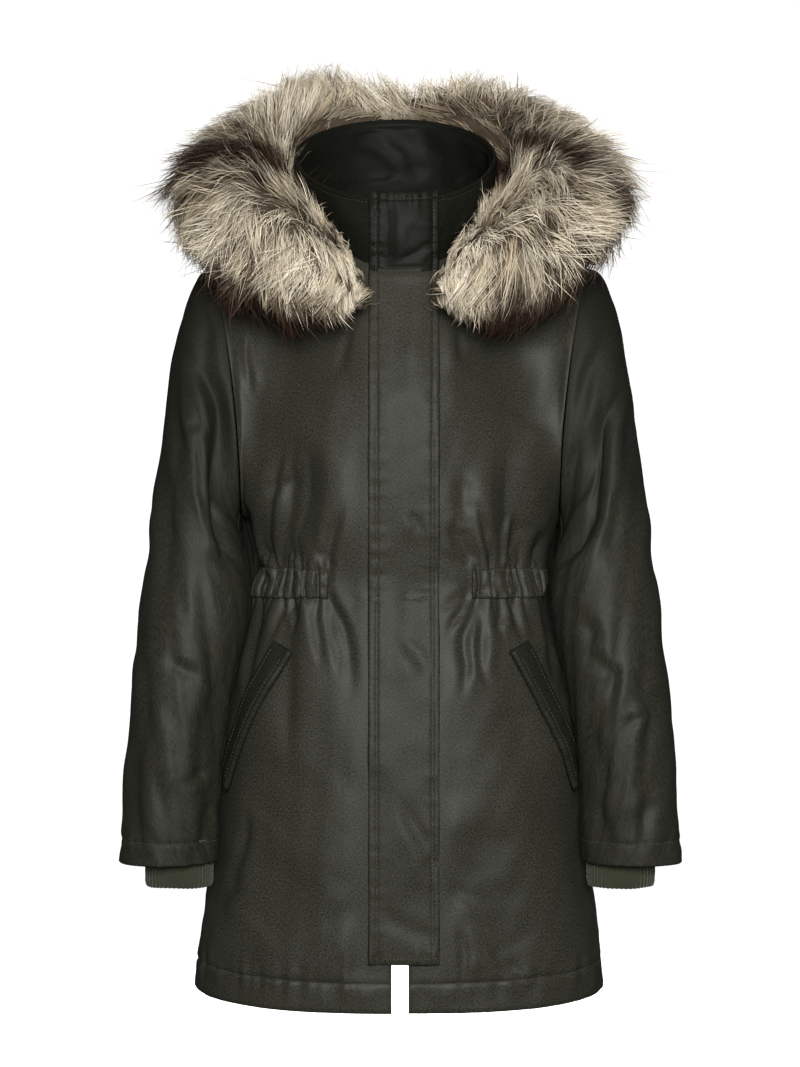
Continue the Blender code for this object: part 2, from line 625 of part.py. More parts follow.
def body_and_sleeves():
    """Points and outward directions of the body's panels and of both sleeves, untrimmed."""
    flat = np.array([0.0, 0.0, 1.0])
    front = np.concatenate(
        [lower_panel(FRONT_COLUMNS, True), upper_panel(FRONT_COLUMNS, NECK_COLUMNS["front"], True)]
    )
    half_back = np.concatenate(
        [lower_panel(BACK_COLUMNS, False), upper_panel(BACK_COLUMNS, NECK_COLUMNS["back"], False)]
    )
    back = np.concatenate([mirrored(half_back[:, :0:-1], -1), half_back], axis=1)
    sleeve, sleeve_out, angle, along = sleeve_surface()
    front_out = directions(front, front * flat)
    back_out = directions(back, back * flat)
    share_seams(front_out, back_out, sleeve_out)
    back_out[:, :BACK_COLUMNS] = mirrored(back_out[:, :BACK_COLUMNS:-1], -1)
    panels = {"back": (folded(back, back_out, BACK_FOLDS, BACK_FOLD_SCALE), back_out)}
    sleeves = {}
    for name, side in SIDES.items():
        points = folded(front, front_out, FRONT_FOLDS[side], FRONT_FOLD_SCALE)
        panels["front_" + name] = (mirrored(points, side), mirrored(front_out, side))
        height = fold_height(angle / (2 * np.pi), along, SLEEVE_FOLDS[side], SLEEVE_FOLD_SCALE)
        height = height * np.clip(along / ARMHOLE_FADE, 0, 1)
        height = height * np.clip((1 - along) / SLEEVE_HEM_FADE, 0, 1)
        points = sleeve + height[..., None] * sleeve_out
        points[0, :, 0] += ARMHOLE_STEP
        sleeves[name] = (mirrored(points, side), mirrored(sleeve_out, side))
    return panels, sleeves


def build_body(panels, home):
    """Two fronts, which part at the opening, and two backs, which meet at the centre back seam."""
    whole, both = slice(None), (1, 1)
    cuts = [
        ("front_left", "front_left", whole, (0, 1)),
        ("front_right", "front_right", whole, (0, 1)),
        ("back_right", "back", slice(0, BACK_COLUMNS + 1), both),
        ("back_left", "back", slice(BACK_COLUMNS, None), both),
    ]
    for name, panel, columns, edges in cuts:
        points, normals = panels[panel]
        outer = trimmed(points[:, columns], rows=(0, 1), columns=edges)
        cloth_wall(name, outer, outer - WALL * normals[:, columns], "shell_fabric", home)


def build_sleeves(grids, home):
    """Each sleeve is a top sleeve and an under sleeve, parted at its two long seams."""
    top = np.arange(BACK_SLEEVE_SEAM, SLEEVE_COLUMNS + FRONT_SLEEVE_SEAM + 1) % SLEEVE_COLUMNS
    under = np.arange(FRONT_SLEEVE_SEAM, BACK_SLEEVE_SEAM + 1)
    for name, (points, normals) in grids.items():
        for piece, columns in (("top_sleeve_", top), ("under_sleeve_", under)):
            outer = trimmed(points[:, columns], columns=(1, 1))
            inner = outer - WALL * normals[:, columns]
            cloth_wall(piece + name, outer, inner, "shell_fabric", home)


def cuff_ring(z, angle, inset):
    """A ring of the cuff, which widens from the wrist to the sleeve's inner side."""
    top = sleeve_point(angle, CUFF_TOP_ALONG)
    top[:, 2] = CUFF_TOP_Z
    away = unit(top - top.mean(axis=0))
    top = top - away * (WALL + CUFF_GAP)
    wrist = stack(
        CUFF_CENTRE[0] + CUFF_HALF_WIDTH * np.cos(angle),
        CUFF_CENTRE[1] - CUFF_HALF_DEPTH * np.sin(angle),
        z,
    )
    share = np.clip((z - CUFF_BEND_Z) / (CUFF_TOP_Z - CUFF_BEND_Z), 0, 1)
    return (1 - share) * wrist + share * top - inset * away


def build_cuffs(home):
    """Rib knit: ribs stand out on the outer side, and the inner side is plain."""
    angle = np.linspace(0, 2 * np.pi, 2 * RIBS + 1)[:-1]
    ridge = np.where(np.arange(2 * RIBS) % 2, RIB_HEIGHT, 0.0)[:, None]
    for name, side in SIDES.items():
        rings = []
        for z in (CUFF_BOTTOM_Z, CUFF_BEND_Z, CUFF_TOP_Z):
            rings.append((cuff_ring(z, angle, RIB_HEIGHT - ridge), cuff_ring(z, angle, CUFF_WALL)))
        outer = mirrored(np.array([ring[0] for ring in rings]), side)
        inner = mirrored(np.array([ring[1] for ring in rings]), side)
        cloth_wall("rib_cuff_" + name, outer, inner, "rib_knit", home, ring=True)


def collar_grid(rows):
    """Points of the collar from the wearer's right front edge round the neck to the left one.

    A row is the blend of the neckline and the rim, and bulges a little between them. The rim is
    an ellipse on a plane that rises backwards.
    """
    front = neck_point(np.linspace(0, 1, NECK_COLUMNS["front"] + 1), True)
    back = neck_point(np.linspace(0, 1, NECK_COLUMNS["back"] + 1), False)
    half = np.concatenate([front, back[-2::-1]])
    base = np.concatenate([mirrored(half[:-1], -1), half[::-1]])
    turn = np.concatenate(
        [
            np.linspace(0, 1, NECK_COLUMNS["front"] + 1),
            1 + np.linspace(0, 1, NECK_COLUMNS["back"] + 1)[1:],
        ]
    )
    turn = np.concatenate([-turn[:-1], turn[::-1]]) * np.pi / 2
    x = RIM_HALF_WIDTH * np.sin(turn) + RIM_SHIFT * np.abs(np.sin(turn))
    y = np.where(np.cos(turn) > 0, RIM_FRONT_Y, -RIM_BACK_Y) * np.cos(turn)
    rim = stack(x, y, RIM_CENTRE_Z + RIM_SLOPE * y)
    rim[0, 0], rim[-1, 0] = -OPENING, OPENING
    base = base + np.array([0, 0, SEAM_GAP])
    away = unit((rim - NECK_AXIS) * np.array([1, 1, 0]))
    v = np.array(rows)[:, None, None]
    return (1 - v) * base + v * rim + COLLAR_BULGE * np.sin(np.pi * v) * away


def build_collar(home):
    """The collar, open at the centre front; other pieces are kept clear of what this returns."""
    points = collar_grid(np.linspace(0, 1, COLLAR_ROWS + 1))
    normals = directions(points, NECK_AXIS)
    cloth_wall("collar", points, points - WALL * normals, "shell_fabric", home)
    return points, normals


def at_x(row_points, row_normals, x):
    """Points and directions of one row of a panel at the given distances from the centre."""
    order = np.argsort(row_points[:, 0])
    xs = row_points[order, 0]
    pick = [np.interp(x, xs, row_points[order, axis]) for axis in range(3)]
    turn = [np.interp(x, xs, row_normals[order, axis]) for axis in range(3)]
    pick[0] = np.asarray(x, float)
    return np.stack(pick, axis=-1), unit(np.stack(turn, axis=-1))


def centre_strip(panels, collar, edges, low_z):
    """Rows of points across the front opening, from low_z up over the collar."""
    right, left = panels["front_right"], panels["front_left"]
    points, normals = [], []
    for row in range(right[0].shape[0]):
        if left[0][row, 0, 2] < low_z - 1e-6:
            continue
        joined = np.concatenate([right[0][row, ::-1], left[0][row]])
        turned = np.concatenate([right[1][row, ::-1], left[1][row]])
        at, turn = at_x(joined, turned, edges)
        points.append(at)
        normals.append(turn)
    collar_points, collar_normals = collar
    for row in range(1, collar_points.shape[0]):
        ends = np.r_[0 : NECK_COLUMNS["front"], -NECK_COLUMNS["front"] : 0]
        at, turn = at_x(collar_points[row, ends], collar_normals[row, ends], edges)
        points.append(at)
        normals.append(turn)
    return np.array(points), unit(np.array(normals) * np.array([PLACKET_FLATNESS, 1, 1]))


def build_placket(panels, collar, home):
    """The placket over the zip, from above the hem to above the collar's rim."""
    points, normals = centre_strip(panels, collar, PLACKET_EDGES, PLACKET_BOTTOM_Z)
    points[-1] += PLACKET_STAND * unit(points[-1] - points[-2])
    inner = points + PLACKET_GAP * normals
    cloth_wall("front_placket", inner + LAYER * normals, inner, "shell_fabric", home)


def build_zip(panels, collar, home):
    """The zip's tape, behind the fronts and the collar."""
    points, normals = centre_strip(panels, collar, ZIP_EDGES, PLACKET_BOTTOM_Z)
    outer = trimmed(points - (WALL + ZIP_GAP) * normals, rows=(1, 1), gap=ZIP_END_GAP)
    cloth_wall("zip", outer, outer - LAYER * normals, "zip", home)


def on_panel(panel, s, z):
    """Points and directions on a body panel, read between its own points below the arms."""
    points, normals = panel
    columns = points.shape[1] - 1
    row = np.interp(z, LOWER_ROWS, np.arange(len(LOWER_ROWS)))
    col = np.clip(s, 0, 1) * columns
    r, c = np.floor(row).astype(int), np.minimum(np.floor(col).astype(int), columns - 1)
    u, w = (row - r)[..., None], (col - c)[..., None]

    def between(grid):
        low = (1 - w) * grid[r, c] + w * grid[r, c + 1]
        return (1 - u) * low + u * ((1 - w) * grid[r + 1, c] + w * grid[r + 1, c + 1])

    return between(points), unit(between(normals))


def build_channel(name, panel, channel, home):
    """An elastic channel: its outer points stand up in gathers over a plain inner side."""
    count = 2 * channel.gathers
    s = np.linspace(channel.start, channel.end, count + 1)[None]
    z = np.array(
        [CHANNEL_BOTTOM_Z + CHANNEL_INSET, CHANNEL_MIDDLE_Z, CHANNEL_TOP_Z - CHANNEL_INSET]
    )[:, None]
    points, normals = on_panel(panel, s + 0 * z, z + 0 * s)
    ridge = np.where(np.arange(count + 1) % 2, GATHER_HEIGHT, 0.0)[None, :, None]
    ridge = ridge * np.array([GATHER_EDGE_SHARE, 1.0, GATHER_EDGE_SHARE])[:, None, None]
    inner = points + LAYER_GAP * normals
    cloth_wall(name, inner + (LAYER + ridge) * normals, inner, "shell_fabric", home)


def build_channels(panels, home):
    """A channel on each front, and one across both backs."""
    for name, side in SIDES.items():
        build_channel("elastic_" + name, panels["front_" + name], FRONT_CHANNELS[side], home)
    build_channel("elastic_back", panels["back"], BACK_CHANNEL, home)


def build_welts(panels, home):
    """A slanted welt on each front, between its two upper and its two lower corners."""
    across = np.linspace(0, 1, WELT_COLUMNS + 1)[None]
    along = np.linspace(0, 1, WELT_ROWS + 1)[:, None]
    top, bottom = np.array(WELT_TOP), np.array(WELT_BOTTOM)
    ends = (1 - along[..., None]) * bottom + along[..., None] * top
    s = (1 - across) * ends[..., 0] + across * ends[..., 2]
    z = (1 - across) * ends[..., 1] + across * ends[..., 3]
    for name in SIDES:
        points, normals = on_panel(panels["front_" + name], s, z)
        inner = points + WELT_GAP * normals
        cloth_wall("pocket_welt_" + name, inner + LAYER * normals, inner, "shell_fabric", home)


def fur_rings():
    """Cross-sections of the fur trim from the wearer's right chest round the neck to the left.

    Each is a closed oval: its upper half is high, and its lower half is shallow where it lies on
    the coat. It leans down away from the neck.
    """
    half = FUR_STATIONS
    stations = [row._replace(x=-row.x) for row in half[:-1]] + half[::-1]
    place = np.arange(len(stations), dtype=float)
    at = np.linspace(0, place[-1], FUR_STEPS * (len(stations) - 1) + 1)
    values = {name: smooth(at, place, column(stations, name)) for name in FurStation._fields}
    centre = stack(values["x"], values["y"], values["z"])
    forward = unit(np.gradient(centre, axis=0))
    level = np.cross(forward, np.array([0, 0, 1.0]))
    away = np.sum(level * (centre - NECK_AXIS), axis=1)
    level = unit(level) * np.sign(away)[:, None]
    lean = np.radians(values["lean"])[:, None]
    out_axis = np.cos(lean) * level - np.sin(lean) * np.array([0, 0, 1.0])
    up_axis = np.sin(lean) * level + np.cos(lean) * np.array([0, 0, 1.0])
    angle = np.linspace(0, 2 * np.pi, FUR_COLUMNS + 1)[:-1][None]
    rise = np.where(np.sin(angle) > 0, values["up"][:, None], values["down"][:, None])
    across = (values["out"][:, None] * signed_power(np.cos(angle), FUR_SECTION_POWER))[..., None]
    height = (rise * signed_power(np.sin(angle), FUR_SECTION_POWER))[..., None]
    rings = centre[:, None] + across * out_axis[:, None] + height * up_axis[:, None]
    return rings, centre


def build_fur(panels, home):
    """The fur trim, closed at both ends; the hood is hung from the tree that this returns."""
    rings, centres = fur_rings()
    rings = stopped_short(rings, centres, panels, FUR_CLEARANCE)
    rows, columns = rings.shape[:2]
    faces = grid_faces(rows, columns, True)
    ends = rings[[0, -1]].mean(axis=1)
    points = np.concatenate([rings.reshape(-1, 3), ends])
    for end, row in ((rows * columns, 0), (rows * columns + 1, rows - 1)):
        for col in range(columns):
            faces.append((end, row * columns + col, row * columns + (col + 1) % columns))
    add_mesh("fur_trim", points, faces, "faux_fur", home)
    return BVHTree.FromPolygons(points.tolist(), faces)


def lowered_under(points, fur, gap):
    """The points, lowered where they would reach into the fur above them."""
    out = points.reshape(-1, 3).copy()
    for number, point in enumerate(out):
        hit = fur.ray_cast((point[0], point[1], HOOD_RAY_Z), (0, 0, 1))[0]
        if hit:
            out[number, 2] = min(point[2], hit.z - gap)
    return out.reshape(points.shape)


def hood_grid(fur):
    """The hood lying back as a pouch: from under the fur down, round and up to the neck seam.

    Each column runs from the rim to the neck seam. Its share of the way across and its depth
    follow the hood's profile, which grows shallow towards both shoulders.
    """
    u = np.linspace(-1, 1, HOOD_COLUMNS + 1)
    neck = neck_point(HOOD_NECK_SHARE * np.abs(u), False)
    neck[:, 0] *= np.sign(u)
    away = unit(neck * np.array([1, 1, 0]))
    neck = neck + HOOD_NECK_OFF * away + np.array([0, 0, HOOD_NECK_LIFT])
    angle = np.radians(HOOD_HALF_ANGLE) * u
    rim = stack(
        HOOD_RIM[0] * np.sin(angle), HOOD_RIM[2] + HOOD_RIM[1] * np.cos(angle), 1.0 + 0 * angle
    )
    rim = lowered_under(rim, fur, HOOD_RIM_GAP)
    fade = 1 - np.abs(u) ** HOOD_DEPTH_POWER
    depth = HOOD_EDGE_DEPTH + (HOOD_DEPTH - HOOD_EDGE_DEPTH) * fade
    v = np.linspace(0, 1, HOOD_ROWS + 1)[:, None]
    place = np.linspace(0, 1, len(HOOD_PROFILE))
    full = depth / HOOD_DEPTH
    profile = smooth(v, place, column(HOOD_PROFILE, "across"))
    across = full * profile + (1 - full) * (1 - v)
    points = neck + across[..., None] * (rim - neck)
    points[..., 2] = (1 - v) * rim[:, 2] + v * neck[:, 2]
    points[..., 2] -= smooth(v, place, column(HOOD_PROFILE, "down")) * depth
    points[1:] = lowered_under(points[1:], fur, HOOD_FUR_GAP)
    return points


def build_hood(fur, panels, home):
    """Two side panels and a centre panel, parted at the hood's two long seams."""
    points = hood_grid(fur)
    points[1:-1] = pushed_out(points[1:-1], panels, HOOD_BACK_GAP)
    inside = points.mean(axis=0, keepdims=True)
    normals = directions(points, inside)
    cuts = [0, *HOOD_SEAM_COLUMNS, HOOD_COLUMNS]
    for name, start, end in zip(("hood_right", "hood_centre", "hood_left"), cuts, cuts[1:]):
        columns = (start > 0, end < HOOD_COLUMNS)
        outer = trimmed(points[:, start : end + 1], columns=columns)
        inner = outer - WALL * normals[:, start : end + 1]
        cloth_wall(name, outer, inner, "shell_fabric", home)


def main():
    """Builds every piece, from the body outwards."""
    remove_everything()
    home = collection("fur_trimmed_parka")
    panels, sleeves = body_and_sleeves()
    build_body(panels, home)
    build_sleeves(sleeves, home)
    build_cuffs(home)
    collar = build_collar(home)
    build_placket(panels, collar, home)
    build_zip(panels, collar, home)
    build_channels(panels, home)
    build_welts(panels, home)
    under_fur = [(points, False) for points, _ in panels.values()]
    under_fur += [(points, True) for points, _ in sleeves.values()] + [(collar[0], False)]
    fur = build_fur(under_fur, home)
    build_hood(fur, [panels["back"], collar], home)


main()
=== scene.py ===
# %% [markdown]
# # A fur trimmed parka
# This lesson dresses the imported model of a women's winter coat. The coat is filled out as if worn,
# but it is hollow: two fronts, two backs, two-piece sleeves with rib cuffs, a funnel collar, a storm
# placket over the zip, elastic waist channels, slanted welts, and a hood that lies back under a wide
# faux-fur trim. Each step says what a piece is on the real coat, and how it is worked out here.

# %% Load the frame
from collections import namedtuple

import bpy
import numpy as np
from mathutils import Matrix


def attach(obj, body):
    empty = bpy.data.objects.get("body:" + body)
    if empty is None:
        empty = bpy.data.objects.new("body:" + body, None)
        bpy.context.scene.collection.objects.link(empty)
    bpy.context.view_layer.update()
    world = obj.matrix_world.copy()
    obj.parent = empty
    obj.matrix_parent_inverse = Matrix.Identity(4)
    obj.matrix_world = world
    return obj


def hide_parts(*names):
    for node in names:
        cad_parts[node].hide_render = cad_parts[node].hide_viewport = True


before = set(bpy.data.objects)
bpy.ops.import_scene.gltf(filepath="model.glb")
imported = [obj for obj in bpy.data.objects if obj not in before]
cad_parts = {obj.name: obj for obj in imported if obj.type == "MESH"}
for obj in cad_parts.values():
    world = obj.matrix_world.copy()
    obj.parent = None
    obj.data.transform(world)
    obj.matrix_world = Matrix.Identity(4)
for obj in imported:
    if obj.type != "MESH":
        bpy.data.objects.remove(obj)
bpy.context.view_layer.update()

# %% [markdown]
# ## Camera
# The coat is seen straight from the front, at the height of its waist, from a little over two and a
# half metres. The lens follows from the height of the view at the coat's middle plane.

# %% Camera
EYE = (0.0, -2.6, -0.33)
VIEW_HEIGHT = 1.1417  # metres that the picture's height covers at the coat's middle plane

camera_data = bpy.data.cameras.new("camera")
camera_data.lens = camera_data.sensor_width * -EYE[1] / VIEW_HEIGHT
camera = bpy.data.objects.new("camera", camera_data)
camera.location = EYE
camera.rotation_euler = (np.pi / 2, 0, 0)
bpy.context.scene.collection.objects.link(camera)
bpy.context.scene.camera = camera
print("lens:", round(camera_data.lens, 1), "mm")

# %% [markdown]
# ## Small mathematics
# Every shape below is a function of whole arrays. A smooth curve through a few sizes gives a section
# at any height, and a sum of sine waves stands in for the small unevenness of cloth. Sizes are kept
# in small tables, in metres unless a comment says otherwise.

# %% Tables, curves and ripples
def table(fields, text):
    """A table written as text, as one array for each named column."""
    rows = np.array([line.split() for line in text.strip().splitlines()], float)
    return dict(zip(fields.split(), rows.T))


def smooth(at, stations, values):
    """Cubic curve through values at stations, with the mean slope of the neighbours at each."""
    stations = np.asarray(stations, float)
    values = np.asarray(values, float)
    slopes = np.gradient(values, stations, axis=0)
    at = np.clip(np.asarray(at, float), stations[0], stations[-1])
    k = np.clip(np.searchsorted(stations, at, side="right") - 1, 0, len(stations) - 2)
    step = stations[k + 1] - stations[k]
    t = (at - stations[k]) / step
    start = (2 * t**3 - 3 * t**2 + 1) * values[k] + (t**3 - 2 * t**2 + t) * step * slopes[k]
    end = (3 * t**2 - 2 * t**3) * values[k + 1] + (t**3 - t**2) * step * slopes[k + 1]
    return start + end


def rise(value, low, high):
    """0 below low and 1 above high, with a soft step 3t^2 - 2t^3 between."""
    t = np.clip((value - low) / (high - low), 0, 1)
    return t * t * (3 - 2 * t)


def bell(off, width):
    """e to the power of minus the square of off divided by width: 1 at 0, and gone past two widths."""
    return np.exp(-((off / width) ** 2))


def signed_power(value, power):
    """Sign of the value times the power of its size: it turns an ellipse into a superellipse."""
    return np.sign(value) * np.abs(value) ** power


def ripple(u, v, wave, seed):
    """Sum of ten sine waves of random direction and phase, each 0.6 to 1.7 times wave long."""
    dice = np.random.default_rng(seed)
    turns, lengths = dice.uniform(0, np.pi, 10), dice.uniform(0.6, 1.7, 10)
    total = 0.0
    for turn, length, phase in zip(turns, lengths, dice.uniform(0, 7, 10)):
        across = u * np.cos(turn) + v * np.sin(turn)
        total = total + np.sin(2 * np.pi * across / (wave * length) + phase)
    return total / 3


print("ripple spread:", round(float(ripple(np.linspace(0, 1, 999), 0, 0.05, 1).std()), 2))


# %% Points, directions and distances
def unit(vectors):
    """The vectors, each divided by its length."""
    return vectors / np.maximum(np.linalg.norm(vectors, axis=-1, keepdims=True), 1e-12)


def stack(x, y, z):
    """Three arrays as the x, y and z of points."""
    return np.stack(np.broadcast_arrays(x, y, z), axis=-1)


def mirrored(points, sign):
    """The points on the wearer's left (sign 1) or right (sign -1)."""
    return points * np.array([sign, 1, 1])


def facing(points, inside, ring=False):
    """Unit normals of a grid: the cross product of its differences both ways, away from inside."""
    if ring:
        across = np.roll(points, -1, axis=1) - np.roll(points, 1, axis=1)
    else:
        across = np.gradient(points, axis=1)
    normals = unit(np.cross(across, np.gradient(points, axis=0)))
    return normals * np.sign(np.sum(normals * (points - inside), axis=-1).mean())


def facing_out(points):
    """Unit normals of a grid, away from the coat's upright axis."""
    return facing(points, points * np.array([0, 0, 1]))


def travel(points, axis):
    """Distance run along a grid's rows (axis 0) or columns (axis 1), from its first line."""
    steps = np.linalg.norm(np.diff(points, axis=axis), axis=-1)
    start = np.zeros_like(np.take(steps, [0], axis=axis))
    return np.concatenate([start, np.cumsum(steps, axis=axis)], axis=axis)


def read_line(at, run, line):
    """Points between those of a line, where run, which grows along it, comes to at."""
    return np.stack([np.interp(at, run, line[:, k]) for k in range(3)], axis=-1)


half_turn = np.linspace(0, np.pi, 99)
half_circle = stack(np.cos(half_turn), np.sin(half_turn), 0.0)
print("half a circle:", travel(half_circle, 0)[-1].round(3), "radii round")

# %% [markdown]
# ## The cut of the coat
# The body is lofted through superellipse sections from hem to underarm. Above it, each panel is a
# patch between four edges: the chest, the centre line, the neckline with the shoulder seam, and the
# armhole. The sleeve is a tube of tilted rings whose first ring is the armhole. These are the sizes
# that the solids are made from, in metres.

# %% Body sections and edges
HEM_Z = -0.8155
UNDERARM_Z = -0.315
OPENING = 0.010  # half the width of the front opening
SQUARENESS = 2.4  # power of the body's superellipse
BODY_SECTIONS = table("z half_width front_depth back_depth", """
    -0.8155 0.2180 0.140 0.140
    -0.7750 0.2135 0.142 0.139
    -0.7100 0.2055 0.144 0.137
    -0.6600 0.1970 0.146 0.136
    -0.6000 0.1940 0.147 0.135
    -0.5300 0.1885 0.146 0.131
    -0.4600 0.1725 0.140 0.120
    -0.4150 0.1610 0.133 0.108
    -0.3815 0.1575 0.129 0.103
    -0.3500 0.1600 0.134 0.106
    -0.3150 0.1680 0.141 0.111
""")
HEM_RISE = 0.007  # of the hem at the side seams
HEM_RISE_TOP_Z = -0.74  # above it the hem's rise is gone
NECK_HALF_WIDTH = 0.088
NECK_FRONT = (-0.105, -0.055)  # y and z of the neckline at the centre
NECK_BACK = (0.075, 0.015)
SHOULDER_NECK = (0.005, 0.0)  # y and z of the shoulder seam's inner end
SHOULDER_TIP = (0.197, 0.003, -0.045)
CHEST_DEPTH = 0.143
BLADE_DEPTH = 0.122
ARMHOLE_REACH = 2.6  # power by which a panel bends towards the armhole
DRAPE_BLEND = 1.45  # power by which the chest gives way to the top edge
NECK_SHARE = {True: 7 / 18, False: 5 / 10}  # of the top edge: front, then back


def body_sizes(z):
    """Half width, front depth and back depth of the body at a height."""
    heights, *sizes = BODY_SECTIONS.values()
    return [smooth(z, heights, size) for size in sizes]


def body_point(turn, z):
    """Superellipse section: turn 0 is the centre front, a quarter turn the side, half the back."""
    half_width, front, back = body_sizes(z)
    depth = np.where(np.cos(turn) >= 0, front, back)
    x = half_width * signed_power(np.sin(turn), 2 / SQUARENESS)
    low = np.clip((HEM_RISE_TOP_Z - z) / (HEM_RISE_TOP_Z - HEM_Z), 0, 1)
    z = z + HEM_RISE * np.abs(np.sin(turn)) ** 3 * low
    return stack(x, -depth * signed_power(np.cos(turn), 2 / SQUARENESS), z)


def opening_turn(z):
    """The turn of the front's edge, half the opening away from the centre."""
    return np.arcsin((OPENING / body_sizes(z)[0]) ** (SQUARENESS / 2))


def neck_point(share, front):
    """The neckline from the centre (0) to the shoulder seam (1)."""
    y_centre, z_centre = NECK_FRONT if front else NECK_BACK
    start = OPENING if front else 0.0
    x = start + (NECK_HALF_WIDTH - start) * np.sin(share * np.pi / 2) ** 0.9
    y = SHOULDER_NECK[0] + (y_centre - SHOULDER_NECK[0]) * np.cos(share * np.pi / 2) ** 0.9
    z = z_centre + (SHOULDER_NECK[1] - z_centre) * np.sin(share * np.pi / 2) ** 2
    return stack(x, y, z)


print("waist:", np.round(body_sizes(-0.3815), 4).tolist(), "half width, front and back depth")

# %% Sleeve rings
SLEEVE_RINGS = table("along outer_x outer_z inner_x inner_z half_depth mid_y", """
    0.00 0.1970 -0.0450 0.1685 -0.3150 0.088  0.003
    0.05 0.2140 -0.0540 0.1690 -0.3190 0.088  0.002
    0.11 0.2280 -0.0840 0.1690 -0.3240 0.087 -0.001
    0.19 0.2405 -0.1400 0.1685 -0.3320 0.084 -0.007
    0.29 0.2495 -0.2070 0.1650 -0.3480 0.079 -0.018
    0.41 0.2600 -0.2950 0.1585 -0.3780 0.072 -0.037
    0.52 0.2680 -0.3740 0.1600 -0.4240 0.065 -0.057
    0.64 0.2765 -0.4620 0.1735 -0.4880 0.059 -0.072
    0.79 0.2845 -0.5600 0.1850 -0.5700 0.054 -0.079
    0.94 0.2886 -0.6420 0.1880 -0.6430 0.050 -0.080
    1.00 0.2910 -0.6685 0.1887 -0.6685 0.048 -0.080
""")
SLEEVE_SQUARENESS = 2.3  # at the armhole
SLEEVE_ROUNDING = 0.25  # less of it, from 0.4 of the way down
SLEEVE_YAW = 14.0  # degrees that the lower sleeve turns forward
ARMHOLE_BOW = 0.009
ARMHOLE_BOW_ENDS = 0.25  # share of the way down


def sleeve_point(angle, along):
    """Tilted rings: angle 0 is the top line, a quarter turn the front, half a turn the inner line."""
    stations, *sizes = SLEEVE_RINGS.values()
    sizes = [smooth(along, stations, size) for size in sizes]
    outer_x, outer_z, inner_x, inner_z, half_depth, mid_y = sizes
    power = 2 / (SLEEVE_SQUARENESS - SLEEVE_ROUNDING * np.clip(along / 0.4, 0, 1))
    out = signed_power(np.cos(angle), power)
    front = signed_power(np.sin(angle), power)
    bow = ARMHOLE_BOW * np.clip(1 - along / ARMHOLE_BOW_ENDS, 0, 1) ** 2 * np.sin(angle) ** 2
    across = out * (outer_x - inner_x) / 2
    yaw = np.radians(SLEEVE_YAW) * np.clip((along - 0.2) / 0.3, 0, 1)
    x = (outer_x + inner_x) / 2 + across * np.cos(yaw) - front * half_depth * np.sin(yaw) - bow
    y = mid_y - front * half_depth * np.cos(yaw) - across * np.sin(yaw)
    z = (outer_z + inner_z) / 2 + out * (outer_z - inner_z) / 2
    return stack(x, y, z)


print("shoulder tip:", sleeve_point(0.0, 0.0).round(3).tolist())


# %% Body panels
def top_edge(s, front):
    """The neckline up to its share of the width, and then the shoulder seam."""
    split = NECK_SHARE[front]
    neck = neck_point(np.clip(s / split, 0, 1), front)
    shoulder = np.array(SHOULDER_TIP) - neck_point(np.array(1.0), front)
    return neck + np.clip((s - split) / (1 - split), 0, 1)[..., None] * shoulder


def centre_edge(t, front):
    """The centre line from the underarm's height to the neckline."""
    chest = body_point(0.0 if front else np.pi, UNDERARM_Z)
    y_top, z_top = NECK_FRONT if front else NECK_BACK
    middle = -CHEST_DEPTH if front else BLADE_DEPTH
    y = smooth(t, [0.0, 0.45, 0.8, 1.0], [chest[1], middle, 0.45 * middle + 0.55 * y_top, y_top])
    return stack(OPENING if front else 0.0, y, UNDERARM_Z + t * (z_top - UNDERARM_Z))


def upper_patch(s, t, front):
    """Blend of chest and top edge, plus centre line and armhole, less the blend of the corners."""
    start = opening_turn(UNDERARM_Z) if front else 0.0
    turns, ends = start + (np.pi / 2 - start) * s, np.array([start, np.pi / 2])
    if not front:
        turns, ends = np.pi - turns, np.array([np.pi, np.pi / 2])
    chest = body_point(turns, UNDERARM_Z)[None]
    chest_ends = body_point(ends, UNDERARM_Z)
    top, top_ends = top_edge(s, front)[None], top_edge(np.array([0.0, 1.0]), front)
    centre = centre_edge(t, front)[:, None]
    arm = sleeve_point(np.pi * (1 - t) if front else np.pi * (1 + t), 0.0)[:, None]
    low, high = sleeve_point(np.array([np.pi, 0.0]), 0.0)
    s, t = s[None, :, None], t[:, None, None]
    late = t**DRAPE_BLEND
    straight = low + t * (high - low)
    corners = (1 - late) * ((1 - s) * chest_ends[0] + s * low)
    corners = corners + late * ((1 - s) * top_ends[0] + s * top_ends[1])
    arm_side = s * straight + s**ARMHOLE_REACH * (arm - straight)
    return (1 - late) * chest + late * top + (1 - s) * centre + arm_side - corners


def body_panel(s, z, t, front):
    """One panel: the loft below the underarm and the patch above. Their joint is softened, and so is
    the kink that the corner between neckline and shoulder sends down the chest."""
    if front:
        turns = opening_turn(z)[:, None] * (1 - s[None]) + np.pi / 2 * s[None]
    else:
        turns = np.pi * (1 - s[None] / 2) + 0 * z[:, None]
    lower = body_point(turns, z[:, None] + 0 * s[None])
    points = np.concatenate([lower, upper_patch(s, t, front)])
    from_joint = np.arange(len(points)) - len(z)
    near = bell(from_joint, 6.0)[:, None, None] * (1 - s[None, :, None] ** 6)
    for _ in range(12):
        middle = (points[:-2] + points[2:]) / 2
        points[1:-1] += 0.7 * near[1:-1] * (middle - points[1:-1])
    up = from_joint / (len(points) - 1 - len(z))
    kink = (rise(up, 0.0, 0.2) * (1 - rise(up, 0.6, 1.0)))[:, None, None]
    kink = kink * (rise(s, 0.05, 0.2) * (1 - rise(s, 0.7, 0.88)))[None, :, None]
    for _ in range(90):
        middle = (points[:, :-2] + points[:, 2:]) / 2
        points[:, 1:-1] += 0.8 * kink[:, 1:-1] * (middle - points[:, 1:-1])
    return points


